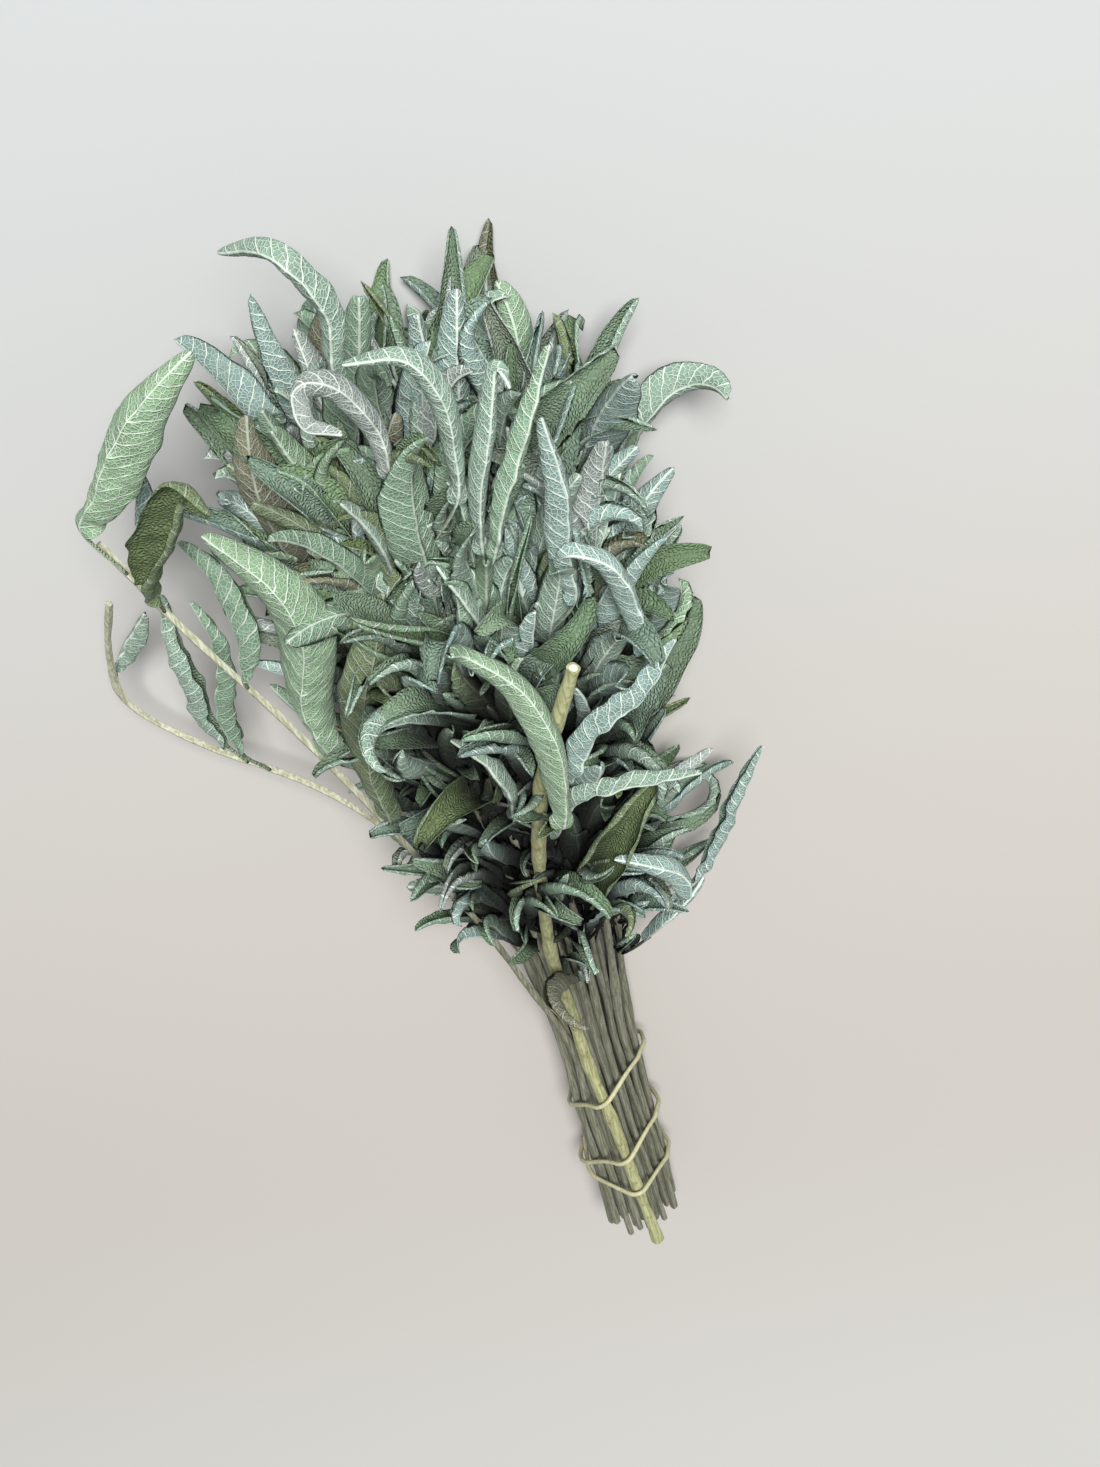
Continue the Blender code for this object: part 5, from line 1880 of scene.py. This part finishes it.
@dataclass
class YoungLeaves:
    """The clusters of small, folded young leaves at the stems' tips and in the leaf angles."""

    growth: Growth
    foliage: Foliage
    material: bpy.types.Material
    shapes: int = 5
    longest: float = 0.023
    shortest: float = 0.009
    chance: float = 0.30
    inset: float = 0.001
    lowest: float = 0.0004

    def shape(self, index: int) -> bpy.types.Object:
        """One young leaf at the origin, along +Z and 10 mm long, for the tree to choose from.

        Args:
            index: which of the shapes it is.

        Returns:
            The leaf's object.
        """
        dice = random.Random(40 + index)
        leaf = Leaf(
            petiole=0.0012,
            blade=0.0088,
            width=dice.uniform(0.0020, 0.0028),
            droop=dice.uniform(-0.5, 0.9),
            curl=dice.uniform(-0.4, 1.3),
            twist=dice.uniform(-1.2, 1.2),
            sway=dice.uniform(-0.5, 0.5),
            fold=dice.uniform(0.5, 1.0),
        )
        high = Vector((0, 0, 1))
        frames = self.growth.bent_frames(leaf, high * 1.0, high, Vector((0, 1, 0)))
        frames = [(point - high, *rest) for point, *rest in frames]
        habit = Habit.drawn(leaf, 900 + index)
        habit.wave *= 0.25
        habit.crumple *= 0.3
        points, places, faces = Blade(
            leaf, frames, Detail.YOUNG, habit,
            half_thickness=0.00022, stalk_radius=0.0004, lowest=-1.0,
        ).build()
        data = bpy.data.meshes.new(f"young_leaf_{index}")
        data.from_pydata(points.tolist(), [], faces)
        blade = data.attributes.new("blade", "FLOAT_VECTOR", "POINT")
        blade.data.foreach_set("vector", places.ravel())
        data.shade_smooth()
        return bpy.data.objects.new(data.name, data)

    def tree(self) -> bpy.types.NodeTree:
        """Builds the tree: a young leaf on every point, turned to its `aim` and sized to `size`.

        Returns:
            The tree.
        """
        tree = bpy.data.node_groups.new("young_leaves", "GeometryNodeTree")
        face = tree.interface
        face.new_socket("Geometry", in_out="INPUT", socket_type="NodeSocketGeometry")
        face.new_socket("Shapes", in_out="INPUT", socket_type="NodeSocketCollection")
        face.new_socket("Seed", in_out="INPUT", socket_type="NodeSocketInt")
        face.new_socket("Material", in_out="INPUT", socket_type="NodeSocketMaterial")
        face.new_socket("Geometry", in_out="OUTPUT", socket_type="NodeSocketGeometry")
        enter = add_node(tree, "NodeGroupInput").outputs
        shapes = add_node(
            tree, "GeometryNodeCollectionInfo",
            {"Collection": enter["Shapes"], "Separate Children": True, "Reset Children": True},
        ).outputs[0]
        aim = add_node(
            tree, "GeometryNodeInputNamedAttribute", {"Name": "aim"}, data_type="FLOAT_VECTOR"
        ).outputs["Attribute"]
        size = add_node(
            tree, "GeometryNodeInputNamedAttribute", {"Name": "size"}, data_type="FLOAT"
        ).outputs["Attribute"]
        toward = add_node(
            tree, "FunctionNodeAlignRotationToVector", {"Vector": aim}, axis="Z"
        ).outputs[0]
        spin = add_node(
            tree, "FunctionNodeRandomValue", {3: math.tau, "Seed": enter["Seed"]}, data_type="FLOAT"
        ).outputs[1]
        axis = add_node(tree, "ShaderNodeCombineXYZ", {2: spin}).outputs[0]
        turned = add_node(
            tree, "FunctionNodeRotateRotation", {"Rotation": toward, "Rotate By": axis},
            rotation_space="LOCAL",
        ).outputs[0]
        leaves = add_node(
            tree, "GeometryNodeInstanceOnPoints",
            {"Points": enter["Geometry"], "Instance": shapes, "Pick Instance": True,
             "Rotation": turned, "Scale": size},
        ).outputs[0]
        real = add_node(tree, "GeometryNodeRealizeInstances", {"Geometry": leaves}).outputs[0]
        dressed = add_node(
            tree, "GeometryNodeSetMaterial", {"Geometry": real, "Material": enter["Material"]}
        ).outputs[0]
        add_node(tree, "NodeGroupOutput", {0: dressed})
        return tree

    def points(self) -> list[tuple[Vector, Vector, float, tuple]]:
        """Where the young leaves grow: (point, aim, length, tint).

        Returns:
            The places, each with what the tree needs there.
        """
        low, high = CAD_BOX
        found = []
        for index, sprig in enumerate(self.growth.fanned):
            dice = random.Random(7000 + index)
            spots = []
            for node in sprig.nodes:
                _, faces = self.growth.stem_faces(sprig, node.share)
                for face in faces:
                    if dice.random() < self.chance:
                        spots.append((node.share, face, dice.uniform(0.3, 1.0)))
            _, faces = self.growth.stem_faces(sprig, 1.0)
            spots += [(0.998, face, dice.uniform(0.1, 0.5)) for face in faces]
            spots += [(0.985, face, dice.uniform(0.3, 0.8)) for face in faces]
            for share, out, lean in spots:
                along = direction_at(sprig.points, share)
                root = point_at(sprig.points, share)
                root += out * self.growth.stem_radius(sprig, share) * 0.5
                stray = Vector([dice.uniform(-0.25, 0.25) for _ in range(3)])
                aim = (along + out * lean + stray).normalized()
                length = dice.uniform(self.shortest, self.longest)
                *colour, net = self.foliage.tint(Leaf(0, 1, 1), root, 90_000 + len(found))
                # Painted shade: a young leaf is darker the deeper it lies in the bunch.
                light = float(self.growth.light_at(np.array([list(root + aim * length * 0.6)]))[0])
                tint = (*(level * light for level in colour), net)
                start = root + self.growth.shift
                end = start + aim * length
                if all(low[k] + self.inset < end[k] < high[k] - self.inset for k in range(3)):
                    found.append((start, aim, length, tint))
        return found

    def build(self) -> list[bpy.types.Object]:
        """Builds the young leaves, in two pieces to keep each light.

        Returns:
            The pieces.
        """
        shapes = bpy.data.collections.new("young_leaf_shapes")
        bpy.context.scene.collection.children.link(shapes)
        made = [self.shape(index) for index in range(self.shapes)]
        for item in made:
            shapes.objects.link(item)
        found = self.points()
        tree = self.tree()
        pieces = []
        for half, name in ((0, "young_leaves_inner"), (1, "young_leaves_outer")):
            chosen = found[half::2]
            data = bpy.data.meshes.new(name)
            data.from_pydata([tuple(start) for start, _, _, _ in chosen], [], [])
            data.attributes.new("aim", "FLOAT_VECTOR", "POINT").data.foreach_set(
                "vector", [c for _, aim, _, _ in chosen for c in aim])
            data.attributes.new("size", "FLOAT", "POINT").data.foreach_set(
                "value", [length * 100 for _, _, length, _ in chosen])
            data.attributes.new("tint", "FLOAT_COLOR", "POINT").data.foreach_set(
                "color", [c for _, _, _, tint in chosen for c in tint])
            settings = {"Shapes": shapes, "Seed": 5 + half, "Material": self.material}
            piece = grown_by_nodes(name, data, tree, settings)
            for vert in piece.data.vertices:
                vert.co.z = max(vert.co.z, self.lowest)
            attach(piece, BODY)
            pieces.append(piece)
        for item in made:
            bpy.data.objects.remove(item)
        bpy.data.collections.remove(shapes)
        return pieces


# ---------------------------------------------------------------- studio


@dataclass
class Studio:
    """A pale floor with painted light along it, one large soft light and a fill, and the camera."""

    growth: Growth
    painted_floor_light: tuple = ("#BFBFBC", "#ADA9A4", "#A9ACAD")
    reach: float = 4.0
    key_power: float = 135.0
    fill_level: float = 0.30
    lens: float = 43.6
    tilt: float = math.radians(54.3)
    swing: float = math.radians(-11.2)

    def build(self) -> None:
        """Sets up the floor, the lights and the camera."""
        self.floor()
        self.lights()
        self.camera()
        bpy.context.scene.view_settings.view_transform = "Standard"

    def floor(self) -> None:
        """A matt paper floor, with painted light: neutral at -Y, a darker warm middle, cooler at
        +Y.
        """
        data = bpy.data.meshes.new("floor")
        corners = [(-1, -1), (1, -1), (1, 1), (-1, 1)]
        points = [(self.reach * x, self.reach * y, 0) for x, y in corners]
        data.from_pydata(points, [], [(0, 1, 2, 3)])
        floor = bpy.data.objects.new("floor", data)
        bpy.context.scene.collection.objects.link(floor)
        material = bpy.data.materials.new("matt_paper")
        material.use_nodes = True
        tree = material.node_tree
        shader = tree.nodes["Principled BSDF"]
        body = add_node(tree, "ShaderNodeTexCoord").outputs["Object"]
        # Painted light: the colour runs along Y from neutral, to a darker warm band, to cooler
        # grey.
        depth = add_node(tree, "ShaderNodeSeparateXYZ", {0: body}).outputs[1]
        share = add_node(tree, "ShaderNodeMapRange", {0: depth, 1: -0.55, 2: 0.30}).outputs[0]
        ramp = add_node(tree, "ShaderNodeValToRGB", {0: share})
        ramp.color_ramp.interpolation = "EASE"
        ramp.color_ramp.elements.new(0.5)
        for stop, code in zip(ramp.color_ramp.elements, self.painted_floor_light):
            stop.color = linear(code)
        tree.links.new(ramp.outputs[0], shader.inputs["Base Color"])
        shader.inputs["Roughness"].default_value = 0.9
        shader.inputs["Specular IOR Level"].default_value = 0.1
        data.materials.append(material)

    def lights(self) -> None:
        """A large soft light above the crown, and a pale sky for fill."""
        lamp = bpy.data.lights.new("soft_key", "AREA")
        lamp.shape = "DISK"
        lamp.size = 1.0
        lamp.energy = self.key_power
        lamp.color = (1.0, 0.99, 0.97)
        key = bpy.data.objects.new("soft_key", lamp)
        key.location = (0.50, 1.45, 2.30)
        aim = Vector((0.0, 0.03, 0.05)) - key.location
        key.rotation_mode = "QUATERNION"
        key.rotation_quaternion = aim.to_track_quat("-Z", "Y")
        bpy.context.scene.collection.objects.link(key)
        world = bpy.data.worlds.new("pale_studio")
        world.use_nodes = True
        sky = world.node_tree.nodes["Background"]
        sky.inputs["Color"].default_value = linear("#F3F6F8")
        sky.inputs["Strength"].default_value = self.fill_level
        bpy.context.scene.world = world

    def camera(self) -> None:
        """A camera above the crown that looks back along the bunch."""
        turn = Matrix.Rotation(self.swing, 3, "Z")
        forward = turn @ Vector((0, -math.cos(self.tilt), -math.sin(self.tilt)))
        up = turn @ Vector((0, math.sin(self.tilt), -math.cos(self.tilt)))
        right = turn @ Vector((1, 0, 0))
        place = Vector((0.0771, 0.3811, 0.4814 + self.growth.waist.height)) + self.growth.shift
        data = bpy.data.cameras.new("camera")
        data.lens = self.lens
        data.sensor_width = 36.0
        data.clip_start = 0.01
        camera = bpy.data.objects.new("camera", data)
        camera.matrix_world = Matrix((
            (right.x, up.x, -forward.x, place.x),
            (right.y, up.y, -forward.y, place.y),
            (right.z, up.z, -forward.z, place.z),
            (0, 0, 0, 1),
        ))
        bpy.context.scene.collection.objects.link(camera)
        bpy.context.scene.camera = camera


def main() -> None:
    """Builds the bunch round its solids and reports each piece."""
    logging.basicConfig(level=logging.INFO, format="%(message)s")
    growth = Growth(Waist())
    count = sum(len(node.leaves) for sprig in growth.sprigs for node in sprig.nodes)
    LOG.info("%d sprigs with %d leaves, shift %s", len(growth.sprigs), count, tuple(growth.shift))
    leaf = DriedLeaf().build()
    foliage = Foliage(growth, leaf)
    pieces = foliage.build()
    pieces += Stems(growth).build()
    pieces += RubberBands(growth).build()
    pieces += YoungLeaves(growth, foliage, leaf).build()
    for piece in pieces:
        LOG.info("%s: %d faces", piece.name, len(piece.data.polygons))
    total = sum(len(p.vertices) - 2 for piece in pieces for p in piece.data.polygons)
    LOG.info("%d triangles in all", total)
    Studio(growth).build()


if __name__ == "__main__":
    main()
